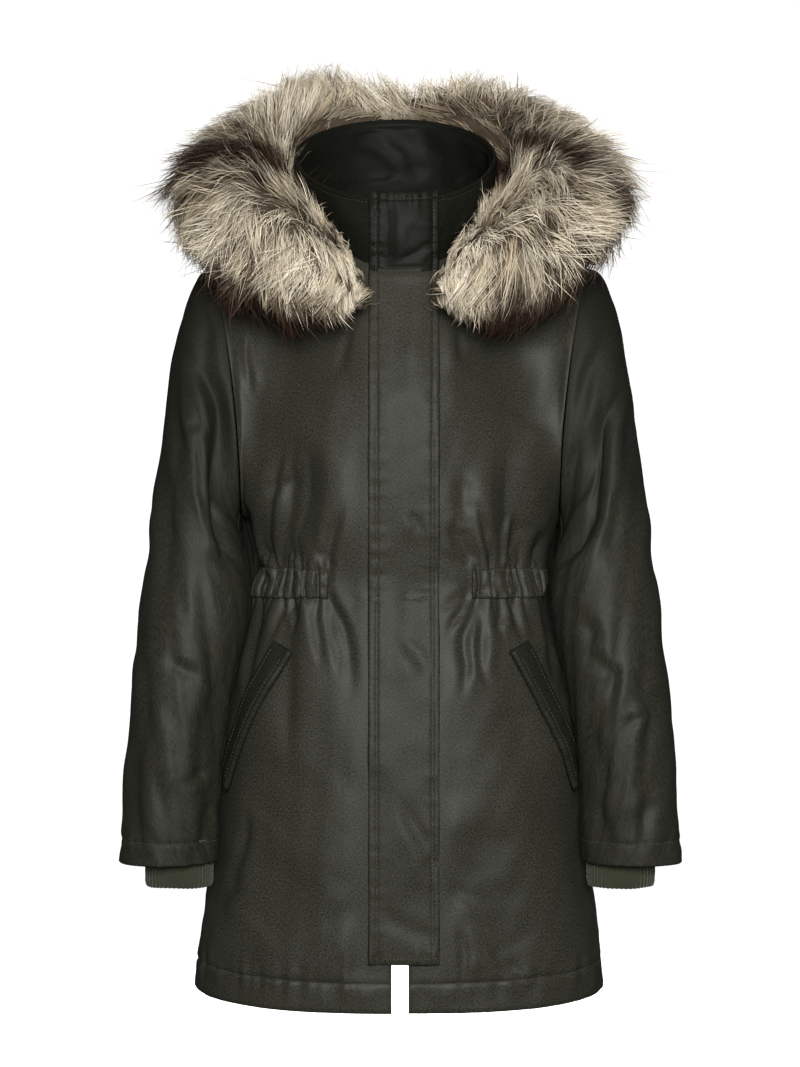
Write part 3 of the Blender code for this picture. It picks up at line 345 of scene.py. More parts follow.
# Rows lie closest together where the hem's stitched groove runs.
BODY_Z_SPANS = [
    (HEM_Z, -0.792, 6), (-0.7895, -0.7825, 6), (-0.779, -0.77, 4),
    (-0.765, -0.43, 67), (-0.426, -0.320, 31),
]
BODY_Z = np.concatenate([np.linspace(*span) for span in BODY_Z_SPANS])
BODY_T = np.linspace(0, 1, 62)
FRONT_S = np.linspace(0, 1, 92)
BACK_S = np.linspace(0, 1, 56)
front_points = body_panel(FRONT_S, BODY_Z, BODY_T, True)
back_points = body_panel(BACK_S, BODY_Z, BODY_T, False)
front_normals, back_normals = facing_out(front_points), facing_out(back_points)
print("front panel:", front_points.shape[:2], "hem", travel(front_points, 1)[0, -1].round(3), "m round")

# %% [markdown]
# ## Cloth as a thin wall
# A piece of cloth is a closed wall: its outer grid, the same grid moved in by its thickness, and a
# border between them. A turned edge is rounded by a middle line of points that stands out a little.
# The UV map holds the distance run over the cloth in metres, so that a weave follows the cut.

# %% Mesh helpers
PIECES = {}
GRIDS = {}  # the outer grid of each piece of cloth
CORNERS = np.s_[:-1, :-1], np.s_[:-1, 1:], np.s_[1:, 1:], np.s_[1:, :-1]
EDGES = {"b": np.s_[0, :], "t": np.s_[-1, :], "l": np.s_[:, 0], "r": np.s_[:, -1]}
BESIDE = {"b": np.s_[1, :], "t": np.s_[-2, :], "l": np.s_[:, 1], "r": np.s_[:, -2]}


def cells(grid):
    """What a grid holds at the four corners of each of its cells."""
    return np.stack([grid[corner] for corner in CORNERS], axis=2).reshape(-1, 4, *grid.shape[2:])


def put(layer, field, values, kind=np.float32):
    """Writes an array into one field of a mesh's layer."""
    layer.foreach_set(field, np.ascontiguousarray(values, kind).ravel())


def add_piece(name, points, faces, uv=None, colour=None):
    """A smooth mesh object at the origin from arrays: points, faces of equal length, uv per corner."""
    mesh = bpy.data.meshes.new(name)
    mesh.vertices.add(len(points))
    put(mesh.vertices, "co", points)
    mesh.loops.add(faces.size)
    put(mesh.loops, "vertex_index", faces, np.int32)
    mesh.polygons.add(len(faces))
    put(mesh.polygons, "loop_start", np.arange(0, faces.size, faces.shape[1]), np.int32)
    if uv is not None:
        put(mesh.uv_layers.new(name="cut").data, "uv", uv)
    if colour is not None:
        put(mesh.color_attributes.new("tint", "FLOAT_COLOR", "POINT").data, "color", colour)
    mesh.update(calc_edges=True)
    mesh.validate()
    mesh.shade_smooth()
    PIECES[name] = bpy.data.objects.new(name, mesh)
    bpy.context.scene.collection.objects.link(PIECES[name])
    return PIECES[name]


def cloth(name, outer, inner, ring=False, rounded=""):
    """A wall between two grids. rounded names turned edges: bottom, top, left, right, by letter."""
    GRIDS[name] = outer
    rows, columns = outer.shape[:2]
    count = rows * columns
    wide = np.arange(columns + ring) % columns
    ids = np.arange(count).reshape(rows, columns)[:, wide]
    place = np.stack([travel(outer[:, wide], 1), travel(outer[:, wide], 0)], axis=-1)
    way = np.zeros_like(outer)
    for letter in rounded:
        way[EDGES[letter]] += unit(outer[EDGES[letter]] - outer[BESIDE[letter]])
    depth = np.linalg.norm(outer - inner, axis=-1, keepdims=True)
    middle = ((outer + inner) / 2 + way * depth / 2).reshape(-1, 3)
    if ring:
        loops = [(ids[0], place[0]), (ids[-1][::-1], place[-1][::-1])]
    else:
        lines = np.s_[0, :-1], np.s_[:-1, -1], np.s_[-1, :0:-1], np.s_[:0:-1, 0], np.s_[0, :1]
        loops = [[np.concatenate([grid[line] for line in lines]) for grid in (ids, place)]]
    quads, quad_uv = cells(ids), cells(place)
    faces, uvs = [quads, quads[:, ::-1] + count], [quad_uv, quad_uv[:, ::-1]]
    points = [outer.reshape(-1, 3), inner.reshape(-1, 3)]
    used = 2 * count
    for line, line_uv in loops:
        points.append(middle[line[:-1]])
        mid = used + np.arange(len(line)) % (len(line) - 1)
        used += len(line) - 1
        for near, far in ((line, mid), (mid, line + count)):
            faces.append(np.stack([near[1:], near[:-1], far[:-1], far[1:]], axis=-1))
            uvs.append(np.stack([line_uv[1:], line_uv[:-1], line_uv[:-1], line_uv[1:]], axis=1))
    faces, uvs = np.concatenate(faces), np.concatenate(uvs)
    span = np.cross(outer[:-1, 1:] - outer[:-1, :-1], outer[1:, :-1] - outer[:-1, :-1])
    if np.sum(span * (outer - inner)[:-1, :-1]) < 0:
        faces, uvs = faces[:, ::-1], uvs[:, ::-1]
    return add_piece(name, np.concatenate(points), faces, uvs)


print("a wall of 4 by 3 points has", 2 * len(cells(np.zeros((4, 3)))), "quads on its two sides")

# %% [markdown]
# ## Creases
# Cloth that is held in at the waist and bent at the elbow falls into folds. Most of them have a crest
# on one side, from which the cloth drops steeply into a trough and then comes back slowly. A crease
# is a short path in the plane that it is seen in, from its faint end to its strong end, with a width
# and a depth. A negative depth is a ridge. Lengths in these tables are millimetres.

# %% Crease tables
Crease = namedtuple("Crease", "width depth lean path")
# lean 0: a plain trough. lean 1 or -1: the path is a crest, and the trough lies on that side of it,
# 1 being the right-hand side of someone who walks along the path with height to their left.


def creases(text):
    """One crease a line: its width, depth and lean, and then the points of its path."""
    rows = []
    for line in text.strip().splitlines():
        width, depth, lean, *path = line.split()
        path = np.array([point.split(",") for point in path], float)
        rows.append(Crease(float(width), float(depth), int(lean), path))
    return rows


# Seen from the front: distance from the centre line, and height.
FRONT_CREASES = {
    "right": creases("""
    19 4.6 -1  92,-233 79,-247 73,-271 75,-298 84,-329 92,-354 95,-372 95,-390
    9 2.3 -1  102,-240 105,-271 108,-304 115,-333 119,-354 120,-372 120,-390
    6 2.4 -1  118,-247 126,-271 132,-298 135,-326 137,-354 137,-372 137,-390
    6 3.4 -1  168,-293 158,-312 155,-334 151,-355 143,-372
    6 2.2 -1  55,-309 60,-329 66,-351 68,-369 68,-380
    24 3.2 0  183,-161 158,-211 140,-247 129,-294
    4 1.6 0  51,-121 57,-137 62,-160
    3 1.3 0  161,-121 159,-154 155,-176
    3 -2 0  151,-351 140,-371
    3 -2 0  89,-351 79,-368
    3 -1.6 0  117,-357 107,-368
    6 2.6 1  40,-489 41,-460 43,-444 49,-425 56,-411 65,-396 70,-386
    4.2 2.6 0  80,-460 82,-447 84,-429 86,-413 89,-394
    3.4 1.5 0  62,-473 64,-449 70,-433 76,-409
    9 1.7 1  107,-560 104,-497 103,-460 103,-433 101,-396
    3 2 0  111,-427 112,-413 115,-394
    2.8 1.7 0  135,-437 130,-424 123,-398
    4.5 2.6 0  159,-497 154,-451 150,-424 148,-394
    3 1.3 0  50,-394 39,-403 33,-405
    4.5 1.8 0  157,-619 160,-637 164,-657 170,-675 174,-690
    5 1.8 0  197,-730 184,-709 169,-692
    24 2.8 0  102,-559 115,-595 138,-626
    24 3.4 0  99,-657 120,-699 148,-735
    10 1.4 0  34,-704 53,-714 78,-725
    3.5 1.5 0  40,-758 48,-775
    5 1.4 0  58,-755 64,-774 68,-793
    """),
    "left": creases("""
    17 4.8 -1  99,-238 94,-258 92,-280 92,-305 93,-325 95,-344 95,-370 95,-388
    4.5 2.8 -1  77,-304 80,-318 83,-338 88,-355 90,-370 91,-388
    10 1.8 -1  55,-271 52,-293 54,-311
    8 2.2 -1  54,-313 47,-322 45,-331 50,-342 59,-355 67,-368
    3.2 -2.2 0  119,-315 115,-331 114,-351 114,-368
    5 2.2 0  125,-313 127,-338 129,-368
    5 2.6 0  150,-326 147,-344 143,-367
    4 1.5 0  36,-349 52,-356 66,-366
    3.5 1.5 0  37,-410 50,-402 61,-394
    9 1.8 0  57,-120 67,-141 72,-159
    3.5 1.4 0  59,-115 61,-133 62,-150
    20 3 0  160,-136 145,-182 124,-215
    14 1.3 0  103,-126 90,-149 80,-172
    3.6 2.2 0  49,-431 53,-421 61,-411 68,-395 70,-389
    4.4 2.8 0  64,-488 68,-464 65,-448 65,-435 71,-418 78,-393
    4.4 2.7 0  90,-482 82,-466 82,-448 83,-428 83,-411 83,-391
    3.6 2.4 0  106,-435 101,-426 104,-414 101,-391
    3.4 1.8 0  126,-440 120,-418 117,-391
    5 -2.2 0  151,-460 147,-428 141,-393
    5 2.2 0  160,-480 157,-438 149,-397
    5 1.2 0  42,-497 43,-478 40,-462
    22 2.6 0  121,-569 124,-539 119,-509
    4 1.8 0  63,-786 65,-755 61,-735
    5 1.6 0  93,-750 105,-768 119,-775
    18 2.6 0  96,-619 88,-647 67,-675
    18 2.8 0  85,-681 103,-714 121,-755
    4 1.1 0  46,-686 62,-694 77,-704
    """),
}
# Seen from behind, in the same way.
BACK_CREASES = {
    "left": creases("""
    5 2.6 -1  30,-280 33,-330 30,-370 30,-388
    9 3.4 -1  62,-224 58,-270 60,-320 58,-370 58,-388
    6 2.8 0  92,-262 88,-310 84,-370 84,-388
    8 3.2 -1  126,-240 120,-290 118,-340 112,-370 112,-388
    5 2.4 0  150,-286 146,-330 140,-366
    4.4 2.2 0  24,-450 27,-420 30,-392
    5.5 2.6 1  66,-492 58,-450 56,-420 58,-390
    4.4 2.4 0  92,-450 86,-420 84,-392
    6 2.6 1  141,-500 131,-450 118,-392
    18 2 0  72,-640 82,-700 76,-780
    14 1.8 0  150,-640 156,-700 150,-770
    14 1.4 0  30,-560 44,-620 40,-690
    14 1.8 0  40,-130 70,-170 110,-190
    10 2 0  150,-120 140,-170 136,-226
    """),
    "right": creases("""
    5 2.4 0  20,-286 24,-330 22,-370 22,-388
    7 2.8 -1  46,-246 50,-300 46,-350 44,-388
    9 3.6 -1  80,-222 74,-280 76,-330 70,-370 70,-388
    5 2.8 0  112,-262 106,-310 98,-370 98,-388
    7 2.8 -1  142,-262 136,-320 128,-370 126,-388
    5 2.5 1  30,-482 34,-440 36,-390
    4.2 2.2 0  71,-448 67,-420 68,-392
    6 2.8 1  118,-498 108,-445 98,-390
    4.6 2.2 0  142,-442 134,-420 128,-392
    20 2 0  60,-610 52,-690 60,-770
    12 1.8 0  132,-660 142,-720 138,-780
    14 1.8 0  24,-150 60,-196 96,-204
    10 2 0  156,-110 146,-160 140,-214
    """),
}
print("creases in front:", {side: len(rows) for side, rows in FRONT_CREASES.items()})

# %% The shape of a crease
CREASE_GAIN = 1.7  # all depths in the tables are multiplied by it
CREASE_SPREAD = 1.2  # and all widths by this
RIDGE_SHARE = 0.45  # height of the ridge beside a plain trough
FOLD_GAIN = 1.45  # depths below a crest are multiplied by it once more
LIP_SHARE = 0.10  # height of the lip on the high side of a crest


def crease_profile(side, width, lean):
    """Plain: a bell less a lower bell beside it. Leaning: straight down from the crest to a valley one
    width away, and back up in half a bell; a small lip stands on the high side."""
    if lean == 0:
        return bell(side, width) - RIDGE_SHARE * bell(side - 1.9 * width, 1.3 * width)
    q = lean * side / width
    down = (q + np.sqrt(q * q + 0.006)) / 2
    back_up = bell(np.maximum(q - 0.9, 0), 1.3)
    return FOLD_GAIN * (np.minimum(down, back_up) - LIP_SHARE * bell(q + 0.45, 0.5))


def crease_height(a, b, creases):
    """Sum of the creases: depth times profile across the nearest part of the path, faded at its ends."""
    total = np.zeros(np.broadcast(a, b).shape)
    for crease in creases:
        path = crease.path / 1000
        lengths = np.linalg.norm(np.diff(path, axis=0), axis=1)
        best = np.full(total.shape, 1e9)
        along, side, past = np.zeros_like(total), np.zeros_like(total), np.zeros_like(total)
        for k, (start, length) in enumerate(zip(path, lengths)):
            way = (path[k + 1] - start) / length
            run = (a - start[0]) * way[0] + (b - start[1]) * way[1]
            off = (a - start[0]) * way[1] - (b - start[1]) * way[0]
            held = np.clip(run, 0, length)
            far = np.hypot(off, run - held)
            nearer = far < best
            best = np.where(nearer, far, best)
            along = np.where(nearer, (lengths[:k].sum() + held) / lengths.sum(), along)
            side = np.where(nearer, off, side)
            past = np.where(nearer, np.abs(run - held), past)
        widening = 0.7 + 0.3 * rise(along, 0.0, 0.35) + 0.2 * along * (crease.lean == 0)
        width = CREASE_SPREAD * crease.width / 1000 * widening
        fade = rise(along, -0.12, 0.35) * rise(1 - along, -0.12, 0.12) * bell(past, 1.2 * width)
        near = 1 - rise(best, 5 * width, 8 * width)
        profile = crease_profile(side, width, crease.lean)
        total -= fade * near * CREASE_GAIN * crease.depth / 1000 * profile
    return total


print("a fold's depth from its crest:", crease_profile(np.array([0.0, 0.5, 1.0, 2.0]), 1.0, 1).round(2))

# %% [markdown]
# ## Waist gathers
# The elastic runs in a stitched channel from the side towards the placket. It bunches the cloth into
# uneven upright gathers: narrow valleys with flat, swollen cloth between them. They are sharp inside
# the channel, lean this way and that above and below it, and die out two fingers away.

# %% Gathers
Channel = namedtuple("Channel", "start end folds")  # as shares of a panel's width
FRONT_CHANNELS = {
    "right": Channel(0.25, 0.86, (0.292, 0.357, 0.392, 0.463, 0.535, 0.619, 0.700, 0.765, 0.82)),
    "left": Channel(0.25, 0.80, (0.272, 0.348, 0.458, 0.512, 0.565, 0.683, 0.735)),
}
# On each half of the back, counted from the centre seam.
BACK_CHANNELS = {
    "right": Channel(0.04, 0.76, (0.10, 0.19, 0.25, 0.34, 0.45, 0.50, 0.60, 0.71)),
    "left": Channel(0.04, 0.76, (0.07, 0.16, 0.28, 0.35, 0.43, 0.55, 0.63, 0.70)),
}
CHANNEL_TOP_Z = -0.367
CHANNEL_BOTTOM_Z = -0.396
CHANNEL_Z = (CHANNEL_TOP_Z + CHANNEL_BOTTOM_Z) / 2
WAIST_ARC = 0.235  # length of a front or a half back round the waist, by which shares become metres


def valleys(s, channel, seed, width, drift):
    """Sum of one bell per fold, of uneven depth, with the folds moved sideways by drift times a lean."""
    total = 0.0
    for k, fold in enumerate(channel.folds):
        lean = np.sin(seed + 2.1 * k)
        depth = 0.78 + 0.22 * np.sin(3.0 * seed + 1.7 * k)
        total = total + depth * bell(WAIST_ARC * (s - fold) - lean * drift, width)
    return total


def gather_height(s, z, channel, seed):
    """Valleys that widen away from the channel and are gone 40 mm above and below it."""
    away = np.maximum(np.abs(z - CHANNEL_Z) - 0.0145, 0)
    inside = rise(s, channel.start - 0.03, channel.start + 0.02)
    inside = inside * (1 - rise(s, channel.end - 0.02, channel.end + 0.03))
    fade = np.exp(-((away / 0.021) ** 1.3))
    swell = 0.0016 * inside * fade
    hooks = 0.0022 * bell(z - CHANNEL_TOP_Z - 0.007, 0.006)
    hooks = hooks * valleys(s + 0.018, channel, seed + 1, 0.0034, 0.2 * away)
    return swell + hooks - 0.0042 * fade * valleys(s, channel, seed, 0.0028 + 0.13 * away, 0.42 * away)


print("folds at the waist:", {side: len(channel.folds) for side, channel in FRONT_CHANNELS.items()})

# %% [markdown]
# ## Fronts and backs
# Each panel gets its creases, gathers, a little unevenness, a valley along its seams, and puckers
# where it is stitched. Near the placket the relief dies out, since the placket lies there.

# %% Body panels with their relief
WALL = 0.0025
HEM_STITCH = 0.0295  # above the hem
GRAIN = 0.0009
SIDE_FULLNESS = 0.021  # the back swells a little behind the side seam, at the waist
SEEDS = {"left": 3, "right": 8}
SIDES = {"left": 1, "right": -1}


def seam_valley(off, depth=0.0011, width=0.0032):
    """A valley where two pieces are sewn together; off is the distance from the seam."""
    return -depth * bell(off, width)


def seam_puckers(off, along, seed, height=0.0007, reach=0.014):
    """Small waves square to a seam, strongest at it and gone after reach."""
    return height * np.exp(-off / reach) * ripple(along, 0 * along, 0.019, seed)


def panel_relief(points, s, side, front):
    """Height of a body panel's outer side over its plain form, along its normals."""
    x, _, z = np.moveaxis(points, -1, 0)
    u, v = travel(points, 1), travel(points, 0)
    seed = SEEDS[side] + 20 * front
    edge = u[:, -1:] - u
    height = crease_height(x, z, (FRONT_CREASES if front else BACK_CREASES)[side])
    height += gather_height(s[None], z, (FRONT_CHANNELS if front else BACK_CHANNELS)[side], seed)
    height += GRAIN * ripple(u, v, 0.11, seed) + 0.4 * GRAIN * ripple(u, v, 0.042, seed + 1)
    height += seam_puckers(edge, v, seed + 2) * rise(edge, 0.0, 0.004)
    hem = bell(v - HEM_STITCH, 0.016) * ripple(u, 0.4 * v, 0.020, seed + 3)
    height += 0.0012 * hem - 0.0016 * bell(v - HEM_STITCH, 0.0021)
    if not front:
        waist = rise(z, -0.47, -0.415) * (1 - rise(z, -0.335, -0.275))
        height += SIDE_FULLNESS * waist * bell(edge - 0.036, 0.020)
    height *= rise(edge, 0.0, 0.012)
    if front:
        above_hem = rise(z, -0.80, -0.77)
        height *= rise(u, 0.026, 0.050) * above_hem + 1 - above_hem
    else:
        height = (height + seam_valley(u)) * rise(u + 0.004, 0.0, 0.012)
    return height + seam_valley(edge)


PANELS = {
    "front": (front_points, front_normals, FRONT_S, "bl"),
    "back": (back_points, back_normals, BACK_S, "b"),
}
body = {}
for side, sign in SIDES.items():
    for part, (points, normals, s, rounded) in PANELS.items():
        outer = points + panel_relief(points, s, side, part == "front")[..., None] * normals
        inner = mirrored(outer - WALL * normals, sign)
        body[part, side] = mirrored(outer, sign), mirrored(normals, sign)
        cloth(f"{part}_{side}_cloth", mirrored(outer, sign), inner, rounded=rounded)
print("body pieces:", [name for name in PIECES])

# %% [markdown]
# ## Sleeves
# A two-piece sleeve: the top sleeve wraps the arm from seam to seam, and the narrow under sleeve
# closes it on the inner side. Both are cut from one ring grid, so that their seams match.

# %% Sleeve creases
# Seen from the front: distance from the centre line and height.
SLEEVE_FRONT_CREASES = {
    "right": creases("""
    10 6.5 1  224,-159 213,-173 203,-190 198,-206 199,-231 200,-259 199,-287 197,-315 192,-337 186,-353
    3.2 2.2 0  199,-210 207,-216 216,-219
    2.6 1.6 0  209,-226 207,-254 204,-287 199,-321
    12 2.4 -1  224,-164 225,-190 221,-215 218,-237 223,-287 226,-343 229,-399
    8 2.4 0  208,-80 202,-122 200,-165
    5 2.6 0  198,-88 181,-116 173,-145 173,-179
    5 2.6 0  195,-343 185,-356 172,-340
    10 2.6 1  215,-388 209,-435 202,-460 199,-488 206,-512 210,-543 213,-577 204,-602 209,-633 217,-657
    5 2.4 0  233,-450 229,-463 211,-473
    12 2 -1  246,-466 247,-528 257,-565 260,-605 255,-641
    4 1.7 0  190,-571 202,-576 215,-582
    9 1.2 0  262,-560 252,-590 236,-606
    """),
    "left": creases("""
    11 6 1  238,-187 228,-210 221,-231 217,-254 214,-276 213,-298 210,-315 200,-332 186,-351 170,-366 156,-372
    6 3.4 0  186,-235 178,-251 171,-276 163,-309
    7 2.6 0  209,-134 198,-156 191,-176 186,-195
    6 1.5 0  218,-276 223,-309 218,-357
    9 1.8 0  237,-203 241,-245 248,-293
    9 2.4 1  209,-413 201,-447 224,-466 226,-481 216,-512 209,-537 215,-574 210,-605 221,-642
    8 2.2 -1  246,-435 241,-481 238,-491 249,-516 244,-543 240,-581 240,-605 237,-636
    3 1.8 0  249,-514 243,-517 235,-522
    7 1.6 0  268,-605 255,-612 243,-627
    6 1.6 0  206,-440 194,-430 180,-410
    """),
}
# Seen from behind, in the same way.
SLEEVE_BACK_CREASES = {
    "left": creases("""
    10 4.8 1  240,-160 220,-210 210,-260 204,-310 192,-350
    8 3.2 1  262,-330 240,-372 212,-396
    6 2.6 0  266,-372 246,-404 216,-424
    8 2.4 1  272,-470 250,-500 222,-510
    7 2 0  220,-588 244,-604 268,-598
    11 2 -1  232,-400 240,-450 234,-520 244,-600
    """),
    "right": creases("""
    10 5 1  242,-176 224,-230 212,-290 196,-346
    7 3 0  260,-322 238,-360 208,-380
    7 2.8 1  268,-380 244,-416 214,-430
    8 2.2 0  270,-500 248,-524 224,-530
    6 1.8 0  226,-596 250,-608 270,-596
    11 2 -1  236,-410 230,-470 240,-560 234,-630
    """),
}
# Seen from the side: y and height.
SLEEVE_SIDE_CREASES = creases("""
    14 1.3 0  40,-150 20,-210 -10,-250
    12 0.9 0  -10,-330 -50,-352 -90,-350
    12 0.9 0  -30,-430 -60,-446 -100,-436
""")
print("sleeve creases in front:", {side: len(rows) for side, rows in SLEEVE_FRONT_CREASES.items()})

# %% Sleeves
SLEEVE_COLUMNS = 90
FRONT_SLEEVE_SEAM = 40  # column of each seam
BACK_SLEEVE_SEAM = 55
SLEEVE_ALONG = np.concatenate([np.linspace(0, 0.94, 138)[:-1], np.linspace(0.94, 1, 14)])
SLEEVE_STITCH = 0.0225  # above the sleeve's hem
SLEEVE_GIRTH = 0.07  # radius that the small waves take the sleeve to have

ring_angle = np.linspace(0, 2 * np.pi, SLEEVE_COLUMNS + 1)[None, :-1]
sleeve_points = sleeve_point(*np.meshgrid(ring_angle, SLEEVE_ALONG))
sleeve_normals = facing(sleeve_points, sleeve_points.mean(axis=1, keepdims=True), ring=True)


def sleeve_relief(side):
    """Creases on the front, back and outer side, each masked to where the sleeve faces that way."""
    x, y, z = np.moveaxis(sleeve_points, -1, 0)
    u, v = travel(sleeve_points, 1), travel(sleeve_points, 0)
    seed = SEEDS[side] + 40
    forward = -sleeve_normals[..., 1]
    height = rise(forward, 0.05, 0.45) * crease_height(x, z, SLEEVE_FRONT_CREASES[side])
    height += rise(-forward, 0.05, 0.45) * crease_height(x, z, SLEEVE_BACK_CREASES[side])
    height += rise(sleeve_normals[..., 0], 0.3, 0.7) * crease_height(y, z, SLEEVE_SIDE_CREASES)
    round_x, round_y = np.cos(ring_angle) * SLEEVE_GIRTH, np.sin(ring_angle) * SLEEVE_GIRTH
    waves = ripple(round_x + v, round_y, 0.09, seed)
    small_waves = ripple(round_x, round_y + v, 0.036, seed + 1)
    height += GRAIN * (waves + 0.5 * small_waves)
    from_hem = v[-1:] - v - SLEEVE_STITCH
    height += seam_puckers(v, u, seed + 2, 0.0010, 0.018) * rise(v, 0, 0.004)
    height += 0.0009 * bell(from_hem, 0.012) * ripple(u, v, 0.022, seed + 3)
    height -= 0.0008 * bell(from_hem, 0.0022)
    height *= rise(v, 0.0, 0.016)
    for seam in (FRONT_SLEEVE_SEAM, BACK_SLEEVE_SEAM):
        off = np.abs(u - u[:, seam : seam + 1])
        puckers = seam_puckers(off, v, seed + seam) * rise(off, 0, 0.004)
        height = height * rise(off, 0.0, 0.010) + puckers + seam_valley(off)
    return height + seam_valley(v, 0.0012, 0.004)


SLEEVE_CUTS = {
    "top_sleeve": np.arange(BACK_SLEEVE_SEAM, SLEEVE_COLUMNS + FRONT_SLEEVE_SEAM + 1) % SLEEVE_COLUMNS,
    "under_sleeve": np.arange(FRONT_SLEEVE_SEAM, BACK_SLEEVE_SEAM + 1),
}
sleeves = {}
for side, sign in SIDES.items():
    outer = sleeve_points + sleeve_relief(side)[..., None] * sleeve_normals
    inner = mirrored(outer - WALL * sleeve_normals, sign)
    outer = mirrored(outer, sign)
    sleeves[side] = outer, mirrored(sleeve_normals, sign)
    for piece, columns in SLEEVE_CUTS.items():
        cloth(f"{piece}_{side}_cloth", outer[:, columns], inner[:, columns], rounded="t")
print("sleeve outer line:", round(float(travel(sleeve_points, 0)[-1, 0]), 3), "m")

# %% [markdown]
# ## Collar
# The funnel collar stands on the neckline and leans out to a rim that rises towards the back. Its
# edge is rolled and stitched. The inside shows the same cloth, creased where it turns at the neck.
# Darker copies of the shell's finish on both sides paint the fur's shade, darkest inside.

# %% Collar form
RIM_HALF_WIDTH = 0.1075
RIM_SHIFT = -0.0055
RIM_FRONT_Y = -0.113
RIM_BACK_Y = 0.090
RIM_CENTRE_Z = 0.0765
RIM_SLOPE = 0.563
COLLAR_BULGE = 0.006
COLLAR_MIDDLE = np.array([0, -0.01, 0])


def collar_point(way, up):
    """way: 0 right front edge, 2 centre back, 4 left front edge; up: 0 neckline, 1 rim."""
    side = np.where(way < 2, -1.0, 1.0)
    quarter = 2 - np.abs(way - 2)
    front, back = neck_point(np.clip(quarter, 0, 1), True), neck_point(np.clip(2 - quarter, 0, 1), False)
    base = np.where((quarter < 1)[..., None], front, back) * stack(side, 1.0, 1.0)
    turn = quarter * np.pi / 2
    start = OPENING * (1 - np.clip(quarter, 0, 1))
    x = side * np.hypot(start, RIM_HALF_WIDTH * np.sin(turn)) + RIM_SHIFT * np.sin(turn)
    y = np.where(quarter < 1, RIM_FRONT_Y, -RIM_BACK_Y) * np.cos(turn)
    rim = stack(x, y, RIM_CENTRE_Z + RIM_SLOPE * y)
    away = unit((rim - COLLAR_MIDDLE) * np.array([1, 1, 0]))
    up = up[..., None]
    return (1 - up) * base + up * rim + COLLAR_BULGE * np.sin(np.pi * up) * away


COLLAR_UP = np.concatenate([np.linspace(0, 0.88, 34)[:-1], np.linspace(0.88, 1, 12)])
COLLAR_WAY = np.linspace(0, 4, 191)
collar_base = collar_point(*np.meshgrid(COLLAR_WAY, COLLAR_UP))
collar_normals = facing(collar_base, COLLAR_MIDDLE + np.array([0, 0, 0.05]))
print("collar rim:", round(float(travel(collar_base, 1)[-1, -1]), 3), "m round")

# %% Collar
RIM_ROLL = 0.0058
COLLAR_PADDING = 0.0040  # thicker than the other cloth, so that its two sides can crease on their own
COLLAR_INSIDE_CREASES = creases("""
    9 1.9 -1  -58,90 -33,88 -18,80 -8,69
    7 1.6 1  -70,58 -45,54 -20,59 -8,68
    8 1.6 0  -46,51 -14,48 20,52
    5 1.4 1  62,54 80,66 98,82
    10 1.4 0  28,96 40,76 36,52
""")
COLLAR_OUTSIDE_CREASES = creases("""
    8 1.5 0  -70,-20 -54,-27 -38,-25
    3 1.3 0  -46,-48 -38,-51 -29,-54
    6 1.5 0  40,-48 44,-38 52,-28
    8 1.6 0  66,8 58,-8 46,-24
""")


def rolled_edge(off, height=0.0011):
    """A rolled edge: a round ridge along the rim, with a groove where it is stitched down."""
    roll = height * np.sqrt(np.clip(1 - ((off - RIM_ROLL / 2) / (RIM_ROLL / 2)) ** 2, 0, 1))
    return roll - 0.0006 * bell(off - RIM_ROLL - 0.0008, 0.0012)


x, _, z = np.moveaxis(collar_base, -1, 0)
run, climb = travel(collar_base, 1), travel(collar_base, 0)
below_rim = climb[-1:] - climb
outside = crease_height(x, z, COLLAR_OUTSIDE_CREASES) * rise(-collar_normals[..., 1], 0, 0.5)
outside += (
    GRAIN * ripple(run, climb, 0.06, 61)
    + seam_puckers(climb, run, 62, 0.0010, 0.012)
    + seam_puckers(below_rim, run, 63, 0.0006, 0.014)
)
outside = outside * rise(climb, 0, 0.006) * rise(below_rim, RIM_ROLL, RIM_ROLL + 0.006)
outside = outside + rolled_edge(below_rim)
inside = crease_height(x, z, COLLAR_INSIDE_CREASES) * rise(collar_normals[..., 1], 0.1, 0.6)
inside += 1.4 * GRAIN * ripple(run, climb, 0.05, 65)
inside = inside * rise(climb, 0, 0.010) * rise(below_rim, RIM_ROLL, RIM_ROLL + 0.008)
inside = inside + rolled_edge(below_rim, 0.0007)
from_ends = rise(np.minimum(COLLAR_WAY, 4 - COLLAR_WAY), 0.15, 0.5)[None]
thickness = WALL + COLLAR_PADDING * from_ends * rise(below_rim, 0.0, 0.012)
outside, inside = (np.maximum(relief, -0.7 * thickness / 2) for relief in (outside, inside))
collar_outer = collar_base + outside[..., None] * collar_normals
collar_inner = collar_base - (thickness + inside)[..., None] * collar_normals
cloth("collar_cloth", collar_outer, collar_inner, rounded="t")
print("collar:", len(PIECES["collar_cloth"].data.polygons), "faces")

# %% [markdown]
# ## Placket
# The storm placket covers the zip. It lies off centre, over the fronts and the collar, and its edges
# are topstitched. It is read from the plain forms under it, and then moved out by its own gap.

# %% The strip over the opening
def across_front(points, normals, x):
    """Points and directions at distances x from the centre, read along one row of a panel."""
    order = np.argsort(points[:, 0])
    pick, turn = (read_line(x, points[order, 0], line[order]) for line in (points, normals))
    pick[:, 0] = x
    return pick, unit(turn * np.array([0.5, 1, 1]))


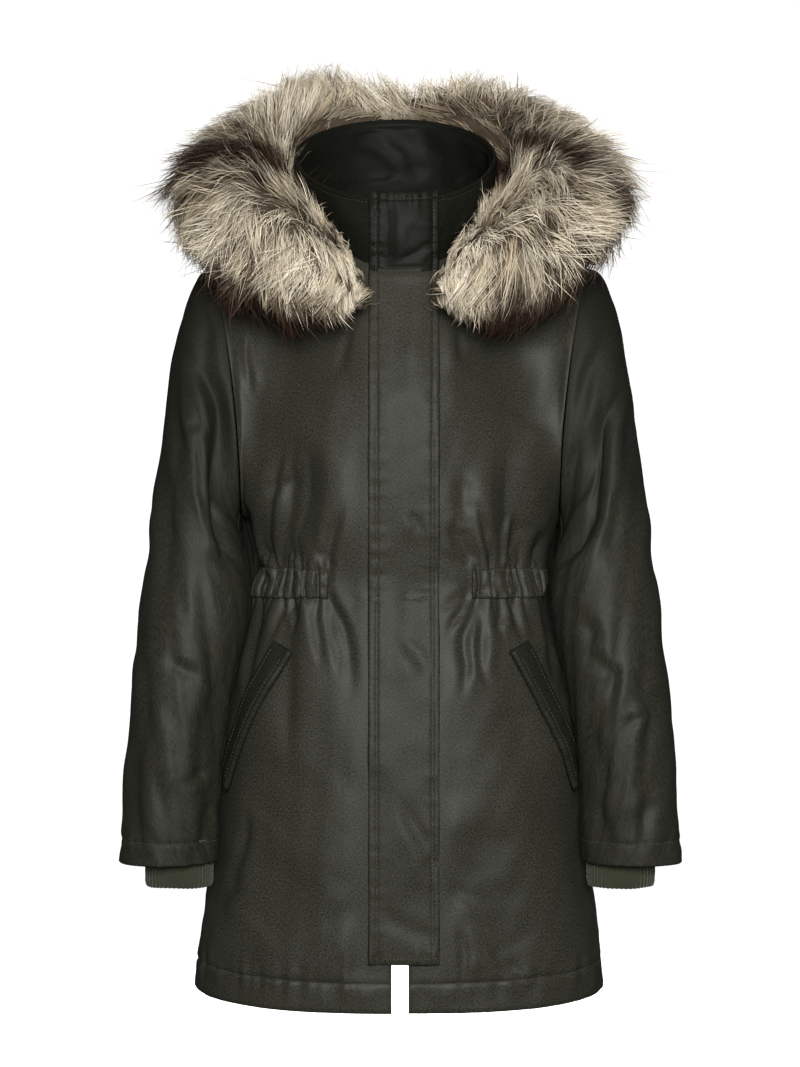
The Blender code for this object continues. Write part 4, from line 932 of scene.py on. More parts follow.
def centre_strip(x, low_z):
    """Rows across the opening from low_z to the collar's rim, smoothed from row to row."""
    rows = []
    both = [np.concatenate([mirrored(g[:, ::-1], -1), g], axis=1) for g in (front_points, front_normals)]
    for row in np.nonzero(front_points[:, 0, 2] > low_z - 1e-5)[0]:
        rows.append(across_front(both[0][row], both[1][row], x))
    ends = np.r_[0:40, -40:0]  # columns of the collar next to its two front edges
    for row in range(2, len(COLLAR_UP)):
        rows.append(across_front(collar_base[row, ends], collar_normals[row, ends], x))
    points, normals = (np.array(part) for part in zip(*rows))
    for grid in (points, normals):
        for _ in range(6):
            grid[1:-1] = (grid[:-2] + 2 * grid[1:-1] + grid[2:]) / 4
    return points, unit(normals)


# %% Placket
LAYER = 0.0018  # thickness of a cloth laid on another
LAYER_GAP = 0.0006
PLACKET_LEFT, PLACKET_RIGHT = -0.031, 0.039
PLACKET_BOTTOM_Z = -0.765
PLACKET_GAP = 0.0016
PLACKET_STAND = 0.005  # above the collar's rim
PLACKET_SIDE_STITCH = 0.0075, 0.0062  # from its two upright edges
PLACKET_END_STITCH = 0.0070, 0.0065  # from its lower and upper edge
COLLAR_SEAM_Z = -0.060  # where the placket folds over the collar's seam
SEAM_LIP_Z = -0.067  # and where it swells below the fold
PLACKET_CREASES = creases("""
    6 1.6 0  3,-603 15,-626 31,-652 33,-670
    6 0.9 0  -19,-712 -4,-724 15,-732 31,-737
    6 1.6 0  2,-438 18,-452 28,-468
    2.6 0.8 0  0,-394 20,-393 30,-392
    4 1.2 0  8,-311 17,-318 19,-325
    3 0.9 0  0,-48 16,-42 34,-31
    8 1 0  4,-16 18,-24 36,-32
    9 1.3 1  -3,14 -2,-18 -4,-50
    14 1 0  -20,-130 4,-190 14,-260
    12 -0.9 0  24,-90 8,-150 0,-200
    12 1 0  6,-330 14,-380 8,-430
    12 0.9 0  -10,-470 2,-520 16,-560
""")

placket_x = PLACKET_LEFT + (PLACKET_RIGHT - PLACKET_LEFT) * np.linspace(0, 1, 45)
placket_base, placket_normals = centre_strip(placket_x, PLACKET_BOTTOM_Z)
placket_base[-1] += PLACKET_STAND * unit(placket_base[-1] - placket_base[-2])
x, _, z = np.moveaxis(placket_base, -1, 0)
run, climb = travel(placket_base, 1), travel(placket_base, 0)
relief = crease_height(x, z, PLACKET_CREASES)
relief += 0.5 * GRAIN * ripple(run, climb, 0.10, 71) + 0.35 * GRAIN * ripple(run, climb, 0.03, 72)
relief -= 0.0030 * bell(z - COLLAR_SEAM_Z, 0.0026) * rise(run, 0.010, 0.018)
relief += 0.0012 * bell(z - SEAM_LIP_Z, 0.0045)
for off, inset, line, seed in (
    (run, PLACKET_SIDE_STITCH[0], climb, 73),
    (run[:, -1:] - run, PLACKET_SIDE_STITCH[1], climb, 74),
    (climb, PLACKET_END_STITCH[0], run, 75),
    (climb[-1:] - climb, PLACKET_END_STITCH[1], run, 76),
):
    relief += 0.0009 * np.exp(-np.abs(off - inset) / 0.006) * ripple(line, 0 * line, 0.011, seed)
    relief -= 0.0015 * bell(off - inset, 0.0015)
placket_inner = placket_base + PLACKET_GAP * placket_normals
placket_outer = placket_inner + (LAYER + np.clip(relief, -0.0035, 0.003)[..., None]) * placket_normals
placket_inner = placket_inner + np.clip(relief, -0.0035, 0.0)[..., None] * placket_normals * 0.35
cloth("front_placket_cloth", placket_outer, placket_inner, rounded="btlr")
print("placket:", round(float(climb[-1].mean()), 3), "m long")

# %% [markdown]
# ## Waist channels and pocket welts
# Both lie on the finished panels: their points are read from the panels' outer sides and moved out.
# A welt stands off along the edge that a hand goes in by, so that it faces a little to the side.

# %% Waist channels
def on_panel(part, side, s, z):
    """Points and directions of a panel's outer side at shares of its width and at heights."""
    columns = body[part, side][0].shape[1]
    row = np.interp(z, BODY_Z, np.arange(len(BODY_Z)))
    col = np.clip(s, 0, 1) * (columns - 1)
    r, c = np.floor(row).astype(int), np.minimum(np.floor(col).astype(int), columns - 2)
    u, w = (row - r)[..., None], (col - c)[..., None]
    found = []
    for grid in body[part, side]:
        low, high = ((1 - w) * grid[rows, c] + w * grid[rows, c + 1] for rows in (r, r + 1))
        found.append((1 - u) * low + u * high)
    return found[0], unit(found[1])


def channel_grid(part, side, channel, seed):
    """A swollen band between two stitched edges, less narrow valleys that each have two thin lips."""
    s = np.linspace(channel.start, channel.end, 127)[None]
    middle = np.linspace(0.014, 0.986, 17)[:, None]
    scallop = 0.0016 * (2 * middle - 1) * (0.4 - valleys(s, channel, seed, 0.0040, 0))
    z = CHANNEL_BOTTOM_Z + middle * (CHANNEL_TOP_Z - CHANNEL_BOTTOM_Z) + scallop
    points, normals = on_panel(part, side, s + 0 * z, z)
    bow = 4 * middle * (1 - middle)
    swell = np.clip(np.sin(np.pi * middle), 0, 1) ** 0.5
    narrow = valleys(s, channel, seed, 0.0013, 0.0018 * bow)
    wide = valleys(s, channel, seed, 0.0036, 0.0018 * bow)
    ridge = 0.0040 * swell * np.clip(0.62 + 0.5 * wide - 1.6 * narrow, -0.2, 1.2)
    ridge = ridge + 0.0004 * ripple(s * 3, z * 9, 0.12, seed)
    inner = points + LAYER_GAP * normals
    return inner + (0.0008 + np.clip(ridge, -0.0003, 0.005)[..., None]) * normals, inner


channels = {side: channel_grid("front", side, FRONT_CHANNELS[side], SEEDS[side] + 80) for side in SIDES}
halves = {side: channel_grid("back", side, BACK_CHANNELS[side], SEEDS[side] + 90) for side in SIDES}
halves = zip(halves["right"], halves["left"])
channels["back"] = tuple(np.concatenate([right[:, ::-1], left], axis=1) for right, left in halves)
for side, (outer, inner) in channels.items():
    cloth(f"elastic_{side}_cloth", outer, inner, rounded="btlr")
print("waist channels:", {side: outer.shape[:2] for side, (outer, _) in channels.items()})

# %% Pocket welts
WELT_TOP = (0.405, -0.4530, 0.520, -0.4410)  # share of the front's width, and height, at both corners
WELT_BOTTOM = (0.690, -0.5930, 0.800, -0.5810)
WELT_STAND = 0.0060  # how far a welt's inner edge stands off more than its outer one

welts = {}
for side in SIDES:
    along, across = np.linspace(0, 1, 61)[:, None], np.linspace(0, 1, 13)[None]
    ends = (1 - along[..., None]) * np.array(WELT_BOTTOM) + along[..., None] * np.array(WELT_TOP)
    s, z = ((1 - across) * ends[..., k] + across * ends[..., k + 2] for k in (0, 1))
    points, normals = on_panel("front", side, s, z)
    run, climb = travel(points, 1), travel(points, 0)
    edge = np.minimum(np.minimum(run, run[:, -1:] - run), np.minimum(climb, climb[-1:] - climb))
    relief = WELT_STAND * (1 - across) - 0.0004 * bell(edge - 0.0035, 0.0012)
    relief += 0.0003 * ripple(climb, run, 0.03, SEEDS[side] + 95)
    inner = points + 2 * LAYER_GAP * normals
    welts[side] = inner + (LAYER + relief[..., None]) * normals, inner
    cloth(f"pocket_welt_{side}_cloth", *welts[side], rounded="btlr")
print("welts:", round(float(climb[-1].mean()), 3), "m long")

# %% [markdown]
# ## Rib cuffs
# A rib knit tube comes out of each sleeve. Its ribs are a wave round the tube, squeezed together where
# the tube narrows, and each rib leans and swells a little.

# %% Cuffs
CUFF_HALF_WIDTH = 0.0353
CUFF_HALF_DEPTH = 0.0290
CUFF_CENTRE = (0.2290, -0.0795)
CUFF_BOTTOM_Z, CUFF_BEND_Z, CUFF_TOP_Z = -0.6940, -0.6730, -0.6450
CUFF_INSIDE = 0.955  # the sleeve's ring that the cuff's top follows
RIBS = 44
RIB_HEIGHT = 0.0013
CUFF_WALL = 0.0028
CUFF_OFF = 0.0014  # from the sleeve's inner side


def cuff_grid(seed):
    """Rings from the wrist up to the inner side of the sleeve, with ribs on the outer side."""
    angle = np.linspace(0, 2 * np.pi, 6 * RIBS + 1)[None, :-1]
    z = np.linspace(CUFF_BOTTOM_Z, CUFF_TOP_Z, 15)[:, None]
    top = sleeve_point(angle, CUFF_INSIDE + 0 * angle)
    top[..., 2] = CUFF_TOP_Z
    away = unit(top - top.mean(axis=1, keepdims=True))
    top = top - (WALL + CUFF_OFF) * away
    x = CUFF_CENTRE[0] + CUFF_HALF_WIDTH * np.cos(angle)
    y = CUFF_CENTRE[1] - CUFF_HALF_DEPTH * np.sin(angle)
    share = rise(z, CUFF_BEND_Z, CUFF_TOP_Z)[..., None]
    base = (1 - share) * stack(x, y, z) + share * top
    ribs = np.abs(np.sin(RIBS / 2 * angle + 0.12 * ripple(angle / 6, z * 8, 0.3, seed))) ** 0.8
    height = RIB_HEIGHT * (ribs - 1) + 0.0005 * ripple(angle * 0.03, z, 0.03, seed + 1)
    height -= 0.0009 * bell(z - CUFF_BOTTOM_Z, 0.0022)
    return base + height[..., None] * away, base - CUFF_WALL * away


for side, sign in SIDES.items():
    outer, inner = (mirrored(grid, sign) for grid in cuff_grid(SEEDS[side] + 100))
    cloth(f"rib_cuff_{side}_knit", outer, inner, ring=True, rounded="b")
print("cuff:", outer.shape[1], "columns for", RIBS, "ribs")

# %% [markdown]
# ## Hood
# The hood lies back as a pouch of three panels: from under the fur down, round, and up to the neck
# seam. Its depth fades towards the shoulders.

# %% Hood form
HOOD_PROFILE = table("across down", """
    1.00 0.00
    1.30 0.22
    1.42 0.50
    1.36 0.78
    1.14 0.97
    0.88 1.00
    0.70 0.86
    0.60 0.60
    0.42 0.30
    0.00 0.00
""")
HOOD_DEPTH = 0.200
HOOD_EDGE_DEPTH = 0.022  # at the shoulders
HOOD_HALF_ANGLE = 76.0
HOOD_RIM = (0.156, 0.166, 0.005)  # half width, half depth, and y of the middle
HOOD_RIM_Z = [0.0673, 0.0686, 0.0703, 0.0722, 0.0731, 0.0705, 0.0634, 0.0539, 0.0415, 0.0255]
HOOD_NECK_SHARE = 0.70
HOOD_NECK_OFF = 0.0014
HOOD_NECK_LIFT = 0.003


def hood_point(u, v):
    """u: -1 right shoulder, 0 centre back, 1 left; v: 0 under the fur, 1 at the neck seam."""
    neck = neck_point(HOOD_NECK_SHARE * np.abs(u), False) * stack(np.sign(u), 1.0, 1.0)
    away = unit(neck * np.array([1, 1, 0]))
    neck = neck + HOOD_NECK_OFF * away + np.array([0, 0, HOOD_NECK_LIFT])
    angle = np.radians(HOOD_HALF_ANGLE) * u
    rim_z = smooth(np.abs(u), np.linspace(0, 1, len(HOOD_RIM_Z)), HOOD_RIM_Z)
    rim = stack(HOOD_RIM[0] * np.sin(angle), HOOD_RIM[2] + HOOD_RIM[1] * np.cos(angle), rim_z)
    depth = HOOD_EDGE_DEPTH + (HOOD_DEPTH - HOOD_EDGE_DEPTH) * (1 - np.abs(u) ** 3.2)
    across, down = (smooth(v, np.linspace(0, 1, len(line)), line) for line in HOOD_PROFILE.values())
    full = depth / HOOD_DEPTH
    points = neck + (full * across + (1 - full) * (1 - v))[..., None] * (rim - neck)
    points[..., 2] = (1 - v) * rim[..., 2] + v * neck[..., 2] - down * depth
    return points


HOOD_U = np.linspace(-1, 1, 127)
HOOD_V = np.linspace(0, 1, 92)
hood_base = hood_point(*np.meshgrid(HOOD_U, HOOD_V))
hood_normals = facing(hood_base, hood_base.mean(axis=0, keepdims=True))
print("hood hangs down to z =", hood_base[..., 2].min().round(3))

# %% Hood
HOOD_SEAM = 4 / 9  # of the way from the centre back to a shoulder
HOOD_CREASES = creases("""
    12 3 0  -60,10 -40,-40 -34,-90
    12 2.4 0  10,20 4,-30 14,-80
    11 2.8 0  66,6 50,-46 48,-90
    11 2.6 0  -90,-20 -50,-104 0,-126
    10 2.4 0  92,-14 60,-96 18,-116
    14 -2 0  -26,-60 0,-72 30,-64
""")

x, _, z = np.moveaxis(hood_base, -1, 0)
run, climb = travel(hood_base, 1), travel(hood_base, 0)
relief = rise(hood_normals[..., 1], 0.0, 0.4) * crease_height(x, z, HOOD_CREASES)
relief += 1.6 * GRAIN * ripple(run, climb, 0.09, 111) + 0.6 * GRAIN * ripple(run, climb, 0.035, 112)
ends = rise(HOOD_V[:, None], 0, 0.05) * rise(1 - HOOD_V[:, None], 0, 0.12)
relief *= ends * rise(1 - np.abs(HOOD_U[None]), 0, 0.12)
hood_cuts = [int(np.argmin(np.abs(HOOD_U - at))) for at in (-HOOD_SEAM, HOOD_SEAM)]
for seam in hood_cuts:
    off = np.abs(run - run[:, seam : seam + 1])
    sewn = seam_puckers(off, climb, seam) * rise(off, 0, 0.004) + seam_valley(off)
    relief = relief * rise(off, 0, 0.010) + sewn * ends
hood_outer = hood_base + relief[..., None] * hood_normals
for name, start, end in zip(("right", "centre", "left"), [0, *hood_cuts], [*hood_cuts, len(HOOD_U) - 1]):
    part = np.s_[:, start : end + 1]
    cloth(f"hood_{name}_cloth", hood_outer[part], hood_outer[part] - WALL * hood_normals[part])
print("collar, placket, channels, welts, cuffs and hood:", len(PIECES), "pieces so far")

# %% [markdown]
# ## Keeping the fur off the coat
# Fur lies on cloth and doesn't reach into it. Five maps hold how far the coat stands out to the
# front, the back, upwards and to both sides. A point that is inside all of them goes out the nearest
# way. The inside of the collar counts as coat, so that the fur doesn't fall into it.

# %% Maps of the coat
CELL = 0.005
MAP_LOW = np.array([-0.36, -0.30, -0.40])
MAP_CELLS = (150, 130, 110)
WAYS_OUT = np.array([[0, -1.0, 0], [0, 1.0, 0], [0, 0, 1.0], [1.0, 0, 0], [-1.0, 0, 0]])


def fill_map(points, keep, value):
    """The largest value of the points in each square cell of the two kept axes."""
    place = [((points[:, axis] - MAP_LOW[axis]) / CELL).astype(int) for axis in keep]
    filled = np.full([MAP_CELLS[axis] for axis in keep], -1.0)
    np.maximum.at(filled, tuple(np.clip(p, 0, n - 1) for p, n in zip(place, filled.shape)), value)
    return filled


rim_middle = collar_outer[-1].mean(axis=0)
lid = rim_middle + np.linspace(0.05, 1, 24)[:, None, None] * (collar_outer[-1] - rim_middle)
coat = [grids[0] for grids in (*body.values(), *sleeves.values())] + [collar_outer, placket_outer, lid]
coat = np.concatenate([grid.reshape(-1, 3) for grid in coat])
coat = coat[coat[:, 2] > MAP_LOW[2]]
coat_maps = []
for way in WAYS_OUT:
    keep = np.nonzero(way == 0)[0]
    coat_maps.append((keep, way, fill_map(coat, keep, coat @ way)))


def off_coat(points, clearance):
    """Points inside the coat go out the shortest of the five ways, until they are clear of it."""
    flat = points.reshape(-1, 3)
    lacks = []
    for keep, way, filled in coat_maps:
        place = [(flat[:, axis] - MAP_LOW[axis]) / CELL - 0.5 for axis in keep]
        i, j = (np.clip(np.floor(p).astype(int), 0, n - 2) for p, n in zip(place, filled.shape))
        u, v = np.clip(place[0] - i, 0, 1), np.clip(place[1] - j, 0, 1)
        reach = (1 - u) * ((1 - v) * filled[i, j] + v * filled[i, j + 1])
        reach += u * ((1 - v) * filled[i + 1, j] + v * filled[i + 1, j + 1])
        lacks.append(reach + clearance - flat @ way)
    lacks = np.array(lacks)
    inside = lacks.min(axis=0) > 0
    moved = flat + np.where(inside, lacks.min(axis=0), 0)[:, None] * WAYS_OUT[lacks.argmin(axis=0)]
    return moved.reshape(points.shape)


print("coat points in the maps:", len(coat))

# %% [markdown]
# ## Fur trim
# The trim is a thick rounded band. Its hair grows from the edge next to the collar, over the top and
# outwards, in locks whose tips run together. Each hair is a narrow tapering ribbon. Its roots are
# brown, its length is cream, and many locks end in dark tips; a few dark bands cross the pelt. Hair
# that lies low, and hair on the band's underside, is darkened as painted shade.

# %% Fur: the band and its sections
# From the right front end to the centre back; the left half mirrors it. Lean is in degrees.
FUR_STATIONS = table("x y z out up down lean", """
    -0.047 -0.150 -0.082 0.022 0.018 0.030 80
    -0.062 -0.152 -0.074 0.046 0.036 0.046 78
    -0.094 -0.150 -0.060 0.066 0.046 0.060 72
    -0.132 -0.126 -0.036 0.076 0.052 0.066 60
    -0.164 -0.085 -0.002 0.080 0.056 0.062 42
    -0.182 -0.030  0.030 0.076 0.060 0.066 26
    -0.180  0.035  0.064 0.070 0.060 0.056 24
    -0.150  0.098  0.096 0.062 0.064 0.046 30
    -0.094  0.150  0.123 0.056 0.074 0.048 35
     0.000  0.169  0.119 0.054 0.070 0.048 35
""")
FUR_END = 2 * len(FUR_STATIONS["x"]) - 2  # the band runs from 0 to this
FUR_OVERHANG = 0.045  # metres that one step past its ends takes
CORE_DEPTH = 0.70  # of the backing, as a share of the band's depth
UP = np.array([0, 0, 1.0])
fur_at = np.linspace(0, FUR_END, 361)
fur_size = {}
for name, values in FUR_STATIONS.items():
    both = np.concatenate([values, -values[-2::-1] if name == "x" else values[-2::-1]])
    fur_size[name] = smooth(fur_at, np.arange(len(both)), both)
fur_centre = stack(fur_size["x"], fur_size["y"], fur_size["z"])
fur_forward = unit(np.gradient(fur_centre, axis=0))
level = unit(np.cross(fur_forward, UP))
level *= np.sign(np.sum(level * (fur_centre - COLLAR_MIDDLE), axis=1))[:, None]
lean = np.radians(fur_size["lean"])[:, None]
fur_out = np.cos(lean) * level - np.sin(lean) * UP
fur_up = np.sin(lean) * level + np.cos(lean) * UP
fur_sizes = np.stack([fur_size[name] for name in ("out", "up", "down")], axis=1)
fur_frame = np.concatenate([fur_centre, fur_out, fur_up, fur_forward, fur_sizes], axis=1)


def fur_point(along, turn, depth):
    """A point of the band: turn 0 is its outer edge, a quarter the top, half the collar's side."""
    place = np.clip(along, 0, FUR_END) * (len(fur_at) - 1) / FUR_END
    low = np.minimum(np.floor(place).astype(int), len(fur_at) - 2)
    share = (place - low)[..., None]
    row = (1 - share) * fur_frame[low] + share * fur_frame[low + 1]
    centre, out, up, forward = (row[..., k : k + 3] for k in (0, 3, 6, 9))
    height = np.where(np.sin(turn) > 0, row[..., 13], row[..., 14]) * signed_power(np.sin(turn), 0.9)
    across = row[..., 12] * signed_power(np.cos(turn), 0.9)
    beyond = (along - np.clip(along, 0, FUR_END))[..., None] * FUR_OVERHANG
    across, height = (depth * across)[..., None], (depth * height)[..., None]
    return centre + beyond * forward + across * out + height * up


core_turn, core_at = np.meshgrid(np.linspace(0, 2 * np.pi, 33)[:-1], np.linspace(0, FUR_END, 121))
swell = CORE_DEPTH * np.clip(np.minimum(core_at, FUR_END - core_at) / 0.8, 0.02, 1) ** 0.5
at_back = rise(core_at, 6.2, 7.2) * (1 - rise(core_at, 10.8, 11.8))
swell = swell * (1 + 0.46 * (at_back * rise(-np.sin(core_turn), 0.0, 0.6)))  # down to the hood's edge
core = off_coat(fur_point(core_at, core_turn, swell), 0.004)
ids = np.arange(core.shape[0] * core.shape[1]).reshape(core.shape[:2])
add_piece("fur_backing", core.reshape(-1, 3), cells(np.concatenate([ids, ids[:, :1]], axis=1)))
print("fur band:", round(float(travel(fur_centre, 0)[-1]), 3), "m long")

# %% Fur: places, tufts and colours
LOCKS = 2430
HAIRS = 19  # in each lock
HAIR_POINTS = 6
HAIR_LENGTH = 0.062
HAIR_WIDTH = 0.0013
HAIR_WAVE = 0.0012
BAND_RADIUS = 0.062  # by which a hair's length becomes a turn round the band
UNDER_SHARE = 0.15  # of the locks: lower and longer ones, dark brown, partly as painted shade under the hair over them
FRINGE_AT = 2.8  # from both ends of the band: more of them hang there
FUR_FRONT_Y, FUR_BACK_Y, FUR_TOP_Z = -0.2170, 0.2385, 0.2060  # no hair goes further
# Dark bands that cross the pelt; turns are degrees.
FUR_BANDS = table("along turn width_along width_turn strength", """
     5.10  60 0.50 45 1.7
     4.75 102 0.46 36 1.8
     4.30 138 0.46 44 1.9
     3.70 195 0.50 70 2.0
     4.50  15 0.36 40 0.9
    13.30 122 0.50 50 1.3
    13.00 198 0.90 72 2.2
    13.60  40 0.28 45 1.2
    15.90  20 0.28 40 1.2
     1.20 150 0.13 24 0.8
     7.00 200 1.60 26 0.5
     9.90 192 0.80 24 0.8
    11.60 180 1.00 30 0.9
""")
# Stretches where the hair is longer, or shorter.
FUR_TUFTS = table("along width gain", """
     8.30 0.40  0.38
     8.95 0.50  0.26
     9.45 0.30  0.14
     7.30 0.40 -0.14
    10.70 0.60 -0.26
     5.90 0.30  0.15
""")
CREAM = np.array([0.750, 0.685, 0.550])
STRAW = np.array([0.520, 0.440, 0.300])
BROWN = np.array([0.170, 0.108, 0.065])
DARK = np.array([0.034, 0.018, 0.011])
RIM_BROWN = np.array([0.190, 0.148, 0.090])


def near_ends(along, at, width):
    """A bell round each of the two places that lie at from an end of the band."""
    return sum(bell(along - place, width) for place in (at, FUR_END - at))


def fur_locks(dice, low, high, count):
    """Where locks grow: an even spread along the band and round it, up to under the collar's rim."""
    along = low + (high - low) * (np.arange(count) * 0.754877666 % 1)
    turn = np.radians(-50 + 290 * (np.arange(count) * 0.569840296 % 1) ** 1.05)
    return along + dice.normal(0, 0.05, count), turn + dice.normal(0, 0.08, count)


def mix(a, b, share):
    """Colours a and b, mixed by an array of shares."""
    return a + (b - a) * np.asarray(share)[..., None]


def fur_colour(dice, along, turn, under, path_along, path_turn, height):
    """Colour along each hair: brown root, cream length, painted shade where it lies low and on the band's
    underside, and in many locks a dark tip. Some hairs are brown or dark all along, and the under locks
    are dark brown, partly as painted shade of the hair over them."""
    shape, p = path_along.shape[:2], np.linspace(0, 1, HAIR_POINTS)
    degrees = np.degrees(path_turn)
    warm = 0.30 + 0.35 * ripple(along * 1.7, turn * 2.6, 1.5, 15) + dice.normal(0, 0.18, along.shape)
    base = mix(CREAM, STRAW, np.clip(warm, 0, 1))[:, None, None] + np.zeros(path_along.shape + (1,))
    for colour, share, part in ((BROWN, 0.65, 0.09), (DARK, 0.85, 0.035)):
        base = mix(base, colour, share * (dice.random(shape) < part)[..., None] * rise(p, 0.2, 0.5))
    base = mix(base, BROWN, 0.9 * (1 - rise(p, 0.10, 0.50)) + 0 * path_along)
    # The under locks are coloured dark brown: partly darker hair, partly painted shade under the hair over
    # them.
    under_shade_brown = mix(DARK, BROWN, 0.45 * dice.random(shape)[..., None])
    base = mix(base, under_shade_brown, 0.92 * under[:, None, None] + 0 * path_along)
    tipped = 0.36 + 0.8 * ripple(along * 2.3, turn * 3.1, 1.3, 17) + dice.normal(0, 0.25, along.shape)
    base = mix(base, DARK, 0.85 * rise(p, 0.78, 1.0) * np.clip(tipped, 0, 1)[:, None, None])
    base = mix(base, RIM_BROWN, 0.7 * rise(degrees, 168, 205))
    band = np.zeros(path_along.shape)
    for at, at_turn, width, width_turn, strength in zip(*FUR_BANDS.values()):
        near = ((path_along - at) / width) ** 2 + ((degrees - at_turn) / width_turn) ** 2
        band = np.maximum(band, strength * np.exp(-(near**1.5)))
    band = np.clip(band * (0.95 + 0.3 * dice.normal(0, 1, shape)[..., None]), 0, 1)
    base = mix(base, DARK, band)
    # Painted shade: hair on the band's underside, below its outer edge, goes dark; near the ends of the band
    # it reaches higher.
    low = -42 + 40 * near_ends(along, 2.9, 1.5)[:, None, None]
    base = mix(base, DARK, 0.95 * (1 - rise(degrees, low, low + 30)))
    # Painted shade: hair that lies low under the others is darker, down to about half.
    base = base * (0.54 + 0.46 * rise(height, 0.62, 0.94))[..., None]
    bright = np.clip(1 + 0.10 * dice.normal(0, 1, along.shape), 0.7, 1.2)
    bright = bright[:, None] * (1 + 0.07 * dice.normal(0, 1, shape))
    return np.clip(base * bright[..., None, None], 0, 0.9)


print("hairs:", LOCKS * HAIRS)


# %% Fur: locks and hairs
def hair_courses(dice, along, turn, under, tuft):
    """Where each hair runs along the band, round it, and in depth: it bends over the band from its
    root to the tip of its lock. The last value says how far a hair strays from its lock."""
    count = len(along)
    shape = (count, HAIRS)
    fringe = under * near_ends(along, FRINGE_AT, 1.4)
    drift = 0.50 * ripple(along, turn * 2.2, 2.6, 7) + dice.normal(0, 0.20, count)
    longer = 0.22 * ripple(along * 1.3, turn * 2, 1.7, 9)
    length = HAIR_LENGTH * (1 + longer + dice.normal(0, 0.10, count) + 0.14 * under + tuft)
    lift = 0.86 + 0.06 * ripple(along * 2.1, turn * 3, 1.2, 11)
    lift = lift + dice.normal(0, 0.035, count) - 0.09 * under
    short = 1 - 0.40 * rise(turn, 2.3, 3.2) - 0.30 * rise(turn, 3.2, 3.9)
    root_along = along[:, None] + dice.normal(0, 0.14, shape)
    root_turn = turn[:, None] + dice.normal(0, 0.10, shape)
    stray = dice.random(shape) ** 6
    tip_along = along[:, None] + drift[:, None] + dice.normal(0, 0.035, shape)
    tip_along = tip_along + stray * dice.normal(0, 0.45, shape)
    tip_along = np.clip(tip_along, -0.05 + 0.2 * stray, FUR_END + 0.05 - 0.2 * stray)
    own = (length * short)[:, None] * (1 + dice.normal(0, 0.10, shape)) * (1 - 0.2 * stray)
    tip_turn = turn[:, None] - own / BAND_RADIUS + dice.normal(0, 0.035, shape)
    tip_depth = lift[:, None] + dice.normal(0, 0.025, shape) + 0.10 * stray
    tip_depth = tip_depth - 0.06 * (1 - rise(tip_turn, -0.2, 0.8))
    tip_depth = tip_depth + 0.26 * fringe[:, None] * (1 - rise(tip_turn, 0.0, 0.8))
    inside = rise(turn, 2.5, 3.1)[:, None]
    tip_depth = tip_depth + 0.07 * inside
    p = np.linspace(0, 1, HAIR_POINTS)
    path_along = root_along[..., None] + (tip_along - root_along)[..., None] * p**1.25
    path_turn = root_turn[..., None] + (tip_turn - root_turn)[..., None] * p
    limit = (-0.85 + 0.40 * fringe)[:, None, None]
    path_turn = np.maximum(path_turn, limit - 0.15 * dice.random(shape)[..., None])
    root_depth = 0.55 + 0.15 * inside[..., None]
    path_depth = root_depth + (tip_depth[..., None] - root_depth) * np.sin(p * np.pi / 2) ** 0.8
    return path_along, path_turn, path_depth, stray


def ribbons(name, points, side, half, tint):
    """Each hair as a ribbon: points at the distance half on both sides of its line, and its tip."""
    left, right = points - half * side, points + half * side
    vertices = np.concatenate([left[:, :, :-1], right[:, :, :-1], points[:, :, -1:]], axis=2)
    colours = np.concatenate([tint[:, :, :-1], tint[:, :, :-1], tint[:, :, -1:]], axis=2)
    colours = np.concatenate([colours, np.ones(colours.shape[:-1] + (1,))], axis=-1)
    n = HAIR_POINTS - 1
    k = np.arange(n - 1)
    sides = [np.stack(corners, 1) for corners in ((k, k + n, k + n + 1), (k, k + n + 1, k + 1))]
    hair = np.concatenate([*sides, [[n - 1, 2 * n - 1, 2 * n]]])
    faces = hair + (2 * n + 1) * np.arange(points.shape[0] * points.shape[1])[:, None, None]
    return add_piece(name, vertices.reshape(-1, 3), faces.reshape(-1, 3), colour=colours.reshape(-1, 4))


